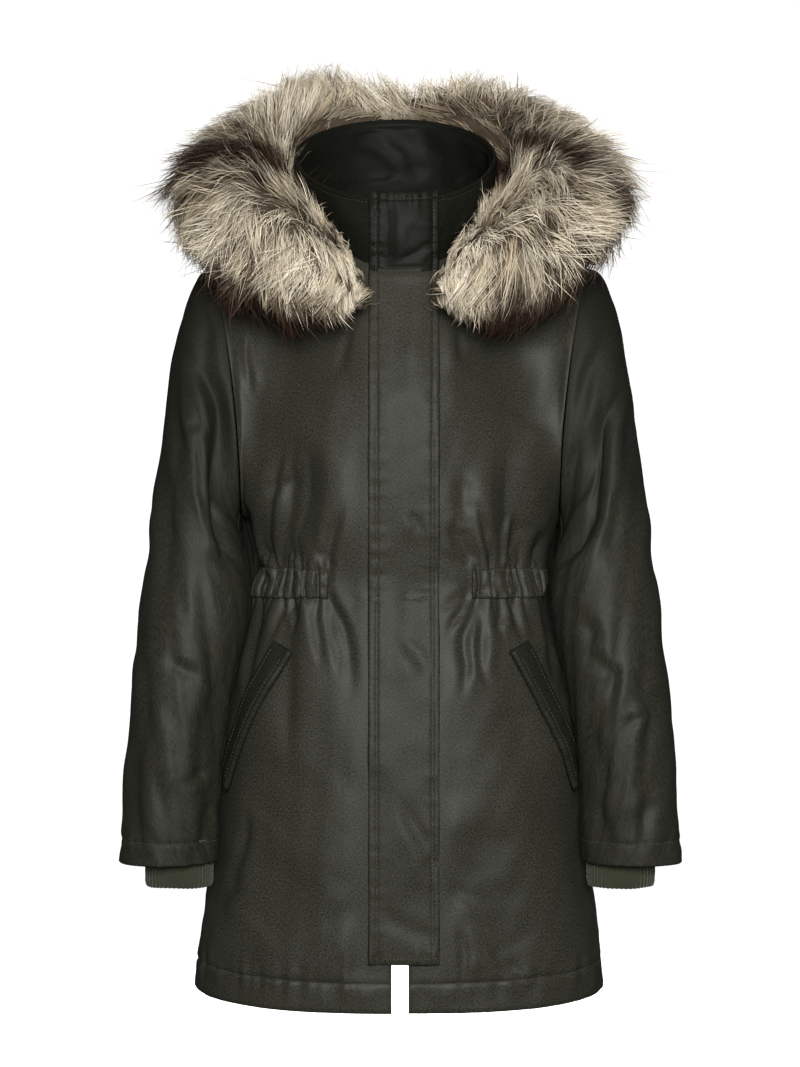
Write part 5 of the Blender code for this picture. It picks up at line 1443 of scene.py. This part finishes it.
def fur_piece(name, seed, low, high, count):
    """One stretch of the trim. The outer part of each hair goes partly straight on, so that tips stand
    off and make a rough outline."""
    dice = np.random.default_rng(seed)
    along, turn = fur_locks(dice, low, high, count)
    shape = (count, HAIRS)
    fringe = near_ends(along, FRINGE_AT, 1.4) * (1 - rise(turn, 0.7, 1.5))
    under = dice.random(count) < UNDER_SHARE + 0.40 * fringe
    tuft = sum(gain * bell(along - at, width) for at, width, gain in zip(*FUR_TUFTS.values()))
    tuft = tuft * rise(turn, 1.2, 1.9)
    path_along, path_turn, path_depth, stray = hair_courses(dice, along, turn, under, tuft)
    points = fur_point(path_along, path_turn, path_depth)
    centre = fur_point(path_along, path_turn, 0 * path_depth)
    p = np.linspace(0, 1, HAIR_POINTS)
    ahead = np.maximum(p - 0.4, 0)[:, None]
    straight = points[:, :, 2:3] + (points[:, :, 2:3] - points[:, :, 1:2]) / 0.2 * ahead
    loose = 0.40 + 0.30 * ripple(along * 1.9, turn * 2.4, 1.4, 19)
    loose = loose + dice.normal(0, 0.18, count) + 0.8 * tuft
    loose = np.clip(loose, 0, 1.2) * (0.7 + 0.3 * rise(turn, 0.4, 1.2)) * np.where(under, 0.7, 1.0)
    loose = loose[:, None] + dice.normal(0, 0.08, shape) + 0.7 * stray
    loose *= (1 - 0.5 * bell(np.minimum(along, FUR_END - along), 2.0))[:, None]
    stand = loose[..., None, None] * (ahead > 0) * (straight - points)
    points = points + stand
    waves = ripple(path_along * 9, path_turn * 9, 1.0, 13)[..., None]
    points = points + unit(points - centre) * HAIR_WAVE * waves
    points = off_coat(points, (0.0025 + 0.006 * dice.random(shape)).repeat(HAIR_POINTS))
    points[..., 1] = np.clip(points[..., 1], FUR_FRONT_Y, FUR_BACK_Y)
    points[..., 2] = np.minimum(points[..., 2], FUR_TOP_Z)
    tangent = unit(np.gradient(points, axis=2))
    side = unit(np.cross(tangent, unit(points - centre)))
    twist = dice.normal(0, 0.5, shape)[..., None, None]
    side = unit(np.cos(twist) * side + np.sin(twist) * np.cross(tangent, side))
    taper = (1 - p) ** 0.6 * (0.7 + 0.3 * p)
    half = (HAIR_WIDTH / 2 * (0.7 + 0.6 * dice.random(shape)))[..., None, None] * taper[:, None]
    # How high each point of a hair stands over the band; fur_colour paints shade on what lies low.
    height = path_depth + np.linalg.norm(stand, axis=-1) / 0.07
    tint = fur_colour(dice, along, turn, under, path_along, path_turn, height)
    return ribbons(name, points, side, half, tint)


# Each stretch of the band: where it starts and ends, and its share of a third of the locks.
FUR_CUTS = {"right": (-0.15, 6.4, 1.1), "back": (6.4, 11.6, 0.8), "left": (11.6, FUR_END + 0.15, 1.1)}
for seed, (side, (low, high, share)) in enumerate(FUR_CUTS.items(), 201):
    piece = fur_piece(f"fur_{side}", seed, low, high, int(LOCKS // 3 * share))
    print(piece.name, len(piece.data.polygons), "triangles")

# %% [markdown]
# ## Zip
# A woven tape lies behind the opening. Two rows of moulded teeth mesh along its middle.

# %% Zip
ZIP_HALF_WIDTH = 0.015
ZIP_GAP = 0.0009
ZIP_END_GAP = 0.004
TOOTH_PITCH = 0.0028
TOOTH_SIZE = np.array([0.0026, 0.0011, 0.0010])  # across the tape, along it, and off it
BOX_CORNERS = np.array([[x, y, z] for z in (0.0, 1.0) for y in (-0.5, 0.5) for x in (-0.35, 1.0)])
BOX_FACES = np.array([
    [0, 2, 3, 1], [4, 5, 7, 6], [0, 1, 5, 4], [2, 6, 7, 3], [0, 4, 6, 2], [1, 3, 7, 5],
])


def boxes(name, place, axes, size):
    """A small box at each place, along the three axes given for it."""
    corners = sum((BOX_CORNERS * size)[None, :, k, None] * axes[k][:, None] for k in range(3))
    faces = BOX_FACES[None] + 8 * np.arange(len(place))[:, None, None]
    handed = np.sum(np.cross(axes[0], axes[1]) * axes[2], axis=1) > 0
    faces = np.where(handed[:, None, None], faces, faces[..., ::-1])
    return add_piece(name, (place[:, None] + corners).reshape(-1, 3), faces.reshape(-1, 4))


tape_x = np.linspace(-ZIP_HALF_WIDTH, ZIP_HALF_WIDTH, 13)
tape_base, tape_normals = centre_strip(tape_x, PLACKET_BOTTOM_Z)
tape_base[0] += ZIP_END_GAP * unit(tape_base[1] - tape_base[0])
tape_base[-1] += ZIP_END_GAP * unit(tape_base[-2] - tape_base[-1])
tape_outer = tape_base - (WALL + ZIP_GAP) * tape_normals
tape_inner = tape_outer - LAYER * tape_normals
cloth("zip_tape", tape_outer, tape_inner, rounded="lr")

spine = tape_inner[:, len(tape_x) // 2]
spine_run = travel(spine, 0)
tooth_at = np.arange(0.004, spine_run[-1] - 0.004, TOOTH_PITCH / 2)
tooth_place = read_line(tooth_at, spine_run, spine)
tooth_up = unit(read_line(tooth_at, spine_run, np.gradient(spine, axis=0)))
tooth_out = unit(read_line(tooth_at, spine_run, -tape_normals[:, len(tape_x) // 2]))
by_turns = np.where(np.arange(len(tooth_at)) % 2, 1.0, -1.0)[:, None]
tooth_side = unit(np.cross(tooth_up, tooth_out)) * by_turns
teeth = boxes("zip_teeth", tooth_place, (tooth_side, tooth_up, tooth_out), TOOTH_SIZE)
teeth.data.shade_flat()
print("zip:", len(tooth_at), "teeth")

# %% [markdown]
# ## Stitches
# Each stitch is a small rounded bar that lies in its groove. A row of stitches is spaced evenly along
# a line of points on a finished surface.

# %% Stitches
STITCH = 0.0030
STITCH_PITCH = 0.0040
THREAD = 0.00036  # half its thickness
THREAD_LIFT = 0.00015
STITCH_RINGS = 0.12, 0.88  # where a stitch has its full thickness, as shares of its length


def stitch_row(points, normals):
    """Starts, directions and outward directions of the stitches along one line of points."""
    run = travel(points, 0)
    at = np.arange(STITCH_PITCH, run[-1] - STITCH_PITCH, STITCH_PITCH)
    start, end = (read_line(place, run, points) for place in (at, at + STITCH))
    return start, end, unit(read_line(at, run, normals))


def stitches(name, rows):
    """All rows as one piece: every stitch has two poles and two rings of four points."""
    start, end, out = (np.concatenate(part) for part in zip(*[stitch_row(*row) for row in rows]))
    along = end - start
    side = unit(np.cross(along, out))
    out = unit(np.cross(side, along))
    ring = np.array([[1, 0], [0, 1], [-1, 0], [0, -1]]) * THREAD
    ring = ring[None, :, :1] * side[:, None] + ring[None, :, 1:] * out[:, None]
    rings = [(start + share * along + THREAD_LIFT * out)[:, None] + ring for share in STITCH_RINGS]
    points = np.concatenate([start[:, None], *rings, end[:, None]], axis=1)
    near = 1 + np.arange(4)
    after = 1 + near % 4
    far, far_after = near + 4, after + 4
    first, last = 0 * near, 0 * near + 9
    triangles = [
        (first, after, near), (near, after, far_after), (near, far_after, far), (far, far_after, last),
    ]
    faces = np.concatenate([np.stack(corners, 1) for corners in triangles])
    faces = faces[None] + 10 * np.arange(len(start))[:, None, None]
    return add_piece(name, points.reshape(-1, 3), faces.reshape(-1, 3))


def line_at(points, normals, off, inset):
    """The line of a grid at the given distance from an edge: off holds each point's distance."""
    row = np.abs(off - inset).argmin(axis=0)[None, :, None]
    return [np.take_along_axis(grid, row, axis=0)[0] for grid in (points, normals)]


def turned(grid):
    """The grid with its rows and columns exchanged."""
    return np.swapaxes(grid, 0, 1)


hem_rows = [line_at(points, normals, travel(points, 0), HEM_STITCH) for points, normals in body.values()]
for points, normals in sleeves.values():
    climb = travel(points, 0)
    lines = line_at(points, normals, climb[-1:] - climb, SLEEVE_STITCH)
    hem_rows.append([np.concatenate([line, line[:1]]) for line in lines])
trim_rows = []
run, climb = travel(placket_outer, 1), travel(placket_outer, 0)
for off, inset in zip((run, run[:, -1:] - run), PLACKET_SIDE_STITCH):
    trim_rows.append(line_at(turned(placket_outer), turned(placket_normals), turned(off), inset))
for off, inset in zip((climb, climb[-1:] - climb), PLACKET_END_STITCH):
    trim_rows.append([line[5:-4] for line in line_at(placket_outer, placket_normals, off, inset)])
climb = travel(collar_outer, 0)
trim_rows.append(line_at(collar_outer, collar_normals, climb[-1:] - climb, RIM_ROLL + 0.0010))
for grid, _ in channels.values():
    trim_rows += [(grid[row], facing_out(grid)[row]) for row in (1, -2)]
for grid, _ in welts.values():
    trim_rows += [(grid[2:-2, column], facing_out(grid)[2:-2, column]) for column in (2, -3)]
for name, rows in (("stitches_hem", hem_rows), ("stitches_trim", trim_rows)):
    print(name, len(stitches(name, rows).data.vertices) // 10)

# %% [markdown]
# ## Finishes
# A small class lets shader sockets be added and multiplied, so that a finish reads as a formula.

# %% Shader mathematics
class Shade:
    """One output socket in a material. Arithmetic on it adds a Math node."""

    def __init__(self, tree, socket):
        self.tree, self.socket = tree, socket

    def node(self, kind, settings=None, inputs=None, output=0):
        """Any other node: its type, its settings, its input values or links, and the output to use."""
        made = self.tree.nodes.new(kind)
        for name, value in (settings or {}).items():
            setattr(made, name, value)
        for name, value in (inputs or {}).items():
            if isinstance(value, Shade):
                self.tree.links.new(value.socket, made.inputs[name])
            else:
                made.inputs[name].default_value = value
        return Shade(self.tree, made.outputs[output])

    def maths(self, operation, first, second):
        return self.node("ShaderNodeMath", {"operation": operation}, {0: first, 1: second})

    def __add__(self, other):
        return self.maths("ADD", self, other)

    def __sub__(self, other):
        return self.maths("SUBTRACT", self, other)

    def __rsub__(self, other):
        return self.maths("SUBTRACT", other, self)

    def __mul__(self, other):
        return self.maths("MULTIPLY", self, other)

    __radd__ = __add__
    __rmul__ = __mul__


def finish(name, **values):
    """A material with a Principled shader whose fixed values are set on its sockets."""
    made = bpy.data.materials.new(name)
    made.use_nodes = True
    shader = made.node_tree.nodes["Principled BSDF"]
    for key, value in values.items():
        shader.inputs[key.replace("_", " ")].default_value = value
    coordinates = made.node_tree.nodes.new("ShaderNodeTexCoord")
    uv, place = (Shade(made.node_tree, coordinates.outputs[kind]) for kind in ("UV", "Object"))
    return made, shader, uv, place


def feed(shader, **values):
    """Links computed values to the shader's sockets, and each only to one that the export bakes."""
    for key, value in values.items():
        value.tree.links.new(value.socket, shader.inputs[key.replace("_", " ")])


def between(share, low, high):
    """A colour between two colours."""
    inputs = {0: share, 6: (*low, 1), 7: (*high, 1)}
    return share.node("ShaderNodeMix", {"data_type": "RGBA"}, inputs, output=2)


def noise(place, scale, detail, stretch=(1, 1, 1)):
    """Noise of a given scale, and coordinates stretched first, so that grains can run one way."""
    place = place.node("ShaderNodeMapping", None, {"Vector": place, "Scale": stretch})
    return place.node("ShaderNodeTexNoise", None, {"Vector": place, "Scale": scale, "Detail": detail})


def bump(height, distance, strength):
    """A normal from a height."""
    inputs = {"Height": height, "Distance": distance, "Strength": strength}
    return height.node("ShaderNodeBump", None, inputs)


# %% Woven shell
SHADE_TOP_Z, SHADE_BOTTOM_Z = -0.06, -0.34  # between them the colour darkens and the roughness rises towards the fur: painted shade of the fur


def woven(name, dark, light, level, shaded=0.0):
    """The shell's cloth between two colours: flecks along both threads, soft cloudy changes of tone,
    and satin of uneven roughness. shaded says how much darker, as painted shade, and rougher it is
    close under the fur."""
    made, shader, uv, place = finish(name, Specular_IOR_Level=level)
    fleck = (noise(uv, 850, 1.0, (1.0, 0.5, 1.0)) + noise(uv, 850, 1.0, (0.5, 1.0, 1.0))) * 0.5
    cloud = noise(place, 14, 3.0)
    up = place.node("ShaderNodeSeparateXYZ", None, {"Vector": place}, output=2)
    limits = {"From Min": SHADE_BOTTOM_Z, "From Max": SHADE_TOP_Z, "To Min": 0.0, "To Max": shaded}
    # Painted shade: below the fur the colour goes towards the dark one, by shaded at most.
    painted_fur_shade = up.node("ShaderNodeMapRange", None, {"Value": up, **limits})
    spread = ((fleck - 0.5) * 3.6 + 0.5) * 0.8 + cloud * 0.2
    roughness = 0.43 + 0.12 * fleck + 0.08 * cloud + 0.25 * painted_fur_shade
    colour = between(spread * (1 - painted_fur_shade), dark, light)
    feed(shader, Base_Color=colour, Roughness=roughness, Normal=bump(fleck, 0.0003, 0.45))
    return made


shell = woven("shell", (0.0056, 0.0058, 0.0036), (0.0390, 0.0392, 0.0296), 0.180)
# Darker copies of the same shell cloth, as painted shade: the placket, sleeves, welts and collar.
placket_shell = woven("shell_on_placket", (0.0056, 0.0058, 0.0036), (0.0375, 0.0378, 0.0284), 0.130)
sleeve_shell = woven("shell_on_sleeves", (0.0048, 0.0050, 0.0030), (0.0315, 0.0318, 0.0238), 0.125, 0.60)
welt_shell = woven("shell_on_welts", (0.0038, 0.0040, 0.0024), (0.0230, 0.0233, 0.0172), 0.130)
# Painted shade of the fur on the collar's outer side and on the placket above the collar's seam.
cross = woven("shell_painted_collar_shade", (0.0022, 0.0023, 0.0014), (0.0105, 0.0107, 0.0077), 0.075)
# Painted shade inside the collar: its inner side is darker still.
collar_inside_shade = woven("collar_inside_painted_shade", (0.0015, 0.0016, 0.0010), (0.0085, 0.0086, 0.0061), 0.06)
print("woven finishes:", len(bpy.data.materials))


# %% Other finishes
def grained(name, coordinates, grain, low, high, rough, rougher, raised=None, **values):
    """A finish between two colours by one noise, on UV or Object coordinates, that also makes it
    rougher and, with raised, bumpy."""
    made, shader, uv, place = finish(name, **values)
    spots = noise({"UV": uv, "Object": place}[coordinates], *grain)
    feed(shader, Base_Color=between(spots, low, high), Roughness=rough + rougher * spots)
    if raised:
        feed(shader, Normal=bump(spots, *raised))
    return made


# Rib knit: fine loops along each rib, matt.
knit = grained(
    "knit", "UV", (620, 1.0, (1.6, 0.7, 1.0)), (0.0115, 0.0125, 0.0058), (0.0330, 0.0345, 0.0190),
    0.78, 0.15, (0.0006, 0.8), Specular_IOR_Level=0.25, Sheen_Weight=0.25, Sheen_Roughness=0.5,
)
# The backing that the hair grows from.
backing = grained(
    "backing", "Object", (90, 3.0), (0.025, 0.018, 0.012), (0.075, 0.056, 0.038),
    0.85, 0.1, Specular_IOR_Level=0.1,
)
# Zip tape and its moulded teeth.
tape = grained(
    "tape", "UV", (700, 1.0, (0.3, 1.0, 1.0)), (0.010, 0.010, 0.009), (0.026, 0.026, 0.023),
    0.6, 0.2, (0.0004, 0.6), Specular_IOR_Level=0.3,
)
tooth = grained(
    "tooth", "Object", (300, 2.0), (0.012, 0.012, 0.011), (0.030, 0.030, 0.027),
    0.28, 0.2, Specular_IOR_Level=0.5,
)
# Sewing thread, a little shinier than the cloth.
thread = grained(
    "thread", "Object", (1500, 1.0), (0.022, 0.023, 0.016), (0.062, 0.064, 0.048),
    0.42, 0.2, Specular_IOR_Level=0.3,
)
# Fur hairs take their colour from the mesh, and change slightly along it.
hair, shader, uv, place = finish("hair", Specular_IOR_Level=0.12)
tint = place.node("ShaderNodeAttribute", {"attribute_name": "tint"})
fine = noise(place, 240, 1.0)
uneven = {0: 1.0, 6: tint, 7: between(fine, (0.82, 0.81, 0.80), (1.0, 1.0, 1.0))}
colour = tint.node("ShaderNodeMix", {"data_type": "RGBA", "blend_type": "MULTIPLY"}, uneven, output=2)
feed(shader, Base_Color=colour, Roughness=0.58 + 0.2 * fine)
print("finishes:", len(bpy.data.materials))

# %% Which piece has which finish
FINISH_OF = {  # by the start or the end of a piece's name: its material and its slot
    "cloth": (shell, "shell_fabric"),
    "knit": (knit, "rib_knit"),
    "fur_backing": (backing, "faux_fur"),
    "fur": (hair, "faux_fur"),
    "zip_tape": (tape, "zip"),
    "zip_teeth": (tooth, "zip"),
    "stitches": (thread, "shell_fabric"),
}
for name, piece in PIECES.items():
    key = next(k for k in FINISH_OF if name.startswith(k) or name.endswith(k))
    piece.data.materials.append(FINISH_OF[key][0])
    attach(piece, "root")
    if name.startswith(("fur", "zip")):
        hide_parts("fur_trim" if name.startswith("fur") else "zip")
    elif not name.startswith("stitches"):
        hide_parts(name.rsplit("_", 1)[0])


def second_finish(mesh, made, chosen):
    """Gives the chosen faces of a mesh another material."""
    mesh.materials.append(made)
    index = np.zeros(len(mesh.polygons), np.int32)
    index[chosen] = len(mesh.materials) - 1
    mesh.polygons.foreach_set("material_index", index)


# Darker copies of the shell paint shade on some pieces: a little on the placket, more on the sleeves, which
# also darken towards the fur, more on the welts, and most on the collar, which lies in the fur's shade.
SHADED_SHELL_COPIES = {
    "top_sleeve": sleeve_shell,
    "under_sleeve": sleeve_shell,
    "front_placket": placket_shell,
    "pocket_welt": welt_shell,
    "collar": cross,
}
for name, piece in PIECES.items():
    for start, made in SHADED_SHELL_COPIES.items():
        if name.startswith(start):
            piece.data.materials[0] = made
# The collar's inner faces get the darkest copy: painted shade inside the collar.
collar_side = (len(COLLAR_UP) - 1) * (len(COLLAR_WAY) - 1)  # faces on each side of the collar
second_finish(PIECES["collar_cloth"].data, collar_inside_shade, np.s_[collar_side : 2 * collar_side])
# The placket above the collar's seam gets the same darker copy: painted shade of the fur.
placket_mesh = PIECES["front_placket_cloth"].data
middles = np.empty(3 * len(placket_mesh.polygons))
placket_mesh.polygons.foreach_get("center", middles)
second_finish(placket_mesh, cross, middles[2::3] > COLLAR_SEAM_Z)
print("faces in shade on the placket:", int((middles[2::3] > COLLAR_SEAM_Z).sum()))

# %% [markdown]
# ## Studio
# A large pale room with a flat floor and no corners shows nothing but the coat. Its walls send no
# light back to the cloth, as if black cloths hung beside the camera, so that the dark satin keeps its
# contrast: one soft lamp near the camera makes the sheen, and weak ones light the top, sides and back.

# %% Room
FLOOR_Z = -1.35
ROOM = 8.0
ROOM_COLUMNS = 48
room_turn = np.linspace(0, 2 * np.pi, ROOM_COLUMNS + 1)[None, :-1]
room_tilt = np.linspace(-np.pi / 2, np.pi / 2, 25)[1:-1, None]
level = np.cos(room_tilt)
room = ROOM * stack(level * np.cos(room_turn), level * np.sin(room_turn), np.sin(room_tilt))
room[..., 2] = np.maximum(room[..., 2], FLOOR_Z)
ids = np.arange(room.size // 3).reshape(-1, ROOM_COLUMNS)
corners = cells(np.concatenate([ids, ids[:, :1]], axis=1))
faces = [corners[:, [0, 3, 2]], corners[:, [0, 2, 1]]]
for ring, pole in ((ids[0], ids.size), (ids[-1][::-1], ids.size + 1)):
    faces.append(np.stack([ring, np.roll(ring, -1), 0 * ring + pole], axis=-1))
poles = np.array([[0, 0, FLOOR_Z], [0, 0, ROOM]])
backdrop = add_piece("backdrop", np.concatenate([room.reshape(-1, 3), poles]), np.concatenate(faces))
PIECES.pop("backdrop")
WHITE = (1, 1, 1, 1)
PAPER = (0.90, 0.90, 0.90, 1)
paper, *_ = finish("paper", Base_Color=PAPER, Roughness=0.9, Emission_Color=WHITE, Emission_Strength=1.0)
backdrop.data.materials.append(paper)
backdrop.visible_diffuse = False
backdrop.visible_glossy = False
print("room:", 2 * ROOM, "m across")

# %% Lamps
Lamp = namedtuple("Lamp", "x y z width height power")
LAMPS = {
    "front": Lamp(0.12, -3.0, 0.22, 1.1, 1.1, 142),
    "above": Lamp(0.2, -0.9, 2.3, 2.0, 1.4, 15),
    "back": Lamp(0.3, 3.2, 0.6, 1.4, 1.4, 90),
    "left": Lamp(-2.6, 0.2, 0.4, 1.0, 2.0, 3),
    "right": Lamp(2.6, 0.2, 0.2, 1.0, 2.0, 3),
}
LAMP_COLOUR = (1.0, 0.985, 0.965)
AIM = np.array([0.0, 0.0, -0.25])
WORLD_STRENGTH = 0.06


def look_at(origin, target):
    """Rotation that turns a light's -Z axis from origin towards the target."""
    x, y, z = target - origin
    return (np.arctan2(np.hypot(x, y), -z), 0.0, np.arctan2(y, x) - np.pi / 2)


for name, lamp in LAMPS.items():
    light = bpy.data.lights.new(name, "AREA")
    light.shape = "RECTANGLE"
    light.size, light.size_y, light.energy = lamp.width, lamp.height, lamp.power
    light.color = LAMP_COLOUR
    holder = bpy.data.objects.new(name, light)
    holder.location = lamp[:3]
    holder.rotation_euler = look_at(np.array(lamp[:3]), AIM)
    bpy.context.scene.collection.objects.link(holder)

world = bpy.data.worlds.new("studio")
bpy.context.scene.world = world
world.use_nodes = True
sky = world.node_tree.nodes["Background"].inputs
sky["Color"].default_value, sky["Strength"].default_value = WHITE, WORLD_STRENGTH
bpy.context.scene.view_settings.view_transform = "Standard"
print("lamps:", list(LAMPS))

# %% [markdown]
# ## Cut sizes
# A table gives the flat size that each piece of cloth was cut to, and how it is held; the cut area
# is printed beside the area of the piece as sewn.

# %% Sizes and finish
Cut = namedtuple("Cut", "width length area held pieces")  # metres and square metres, seams included
CUTS = [
    Cut(0.300, 0.880, 0.202, "hung", ("front_left_cloth", "front_right_cloth")),
    Cut(0.305, 0.880, 0.208, "hung", ("back_left_cloth", "back_right_cloth")),
    Cut(0.370, 0.670, 0.185, "hung", ("top_sleeve_left_cloth", "top_sleeve_right_cloth")),
    Cut(0.090, 0.425, 0.026, "hung", ("under_sleeve_left_cloth", "under_sleeve_right_cloth")),
    Cut(0.705, 0.125, 0.058, "hung", ("collar_cloth",)),
    Cut(0.085, 0.825, 0.062, "hung", ("front_placket_cloth",)),
    Cut(0.165, 0.034, 0.0054, "gathered", ("elastic_left_cloth",)),
    Cut(0.190, 0.034, 0.0062, "gathered", ("elastic_right_cloth",)),
    Cut(0.450, 0.034, 0.0148, "gathered", ("elastic_back_cloth",)),
    Cut(0.034, 0.166, 0.0052, "folded", ("pocket_welt_left_cloth", "pocket_welt_right_cloth")),
    Cut(0.210, 0.066, 0.0135, "stretched", ("rib_cuff_left_knit", "rib_cuff_right_knit")),
    Cut(0.200, 0.440, 0.038, "hung", ("hood_left_cloth", "hood_right_cloth")),
    Cut(0.245, 0.480, 0.086, "hung", ("hood_centre_cloth",)),
    Cut(0.032, 0.795, 0.0250, "hung", ("zip_tape",)),
]
for cut in CUTS:
    for name in cut.pieces:
        grid = GRIDS[name]
        span = np.cross(grid[:-1, 1:] - grid[:-1, :-1], grid[1:, :-1] - grid[:-1, :-1])
        print(f"{name}: cut {cut.area:.4f} m2, sewn {np.linalg.norm(span, axis=-1).sum():.4f} m2")
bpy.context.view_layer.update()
meshes = [piece.data for piece in PIECES.values()]
corners, sides = sum(len(mesh.loops) for mesh in meshes), sum(len(mesh.polygons) for mesh in meshes)
print("triangles added:", corners - 2 * sides)
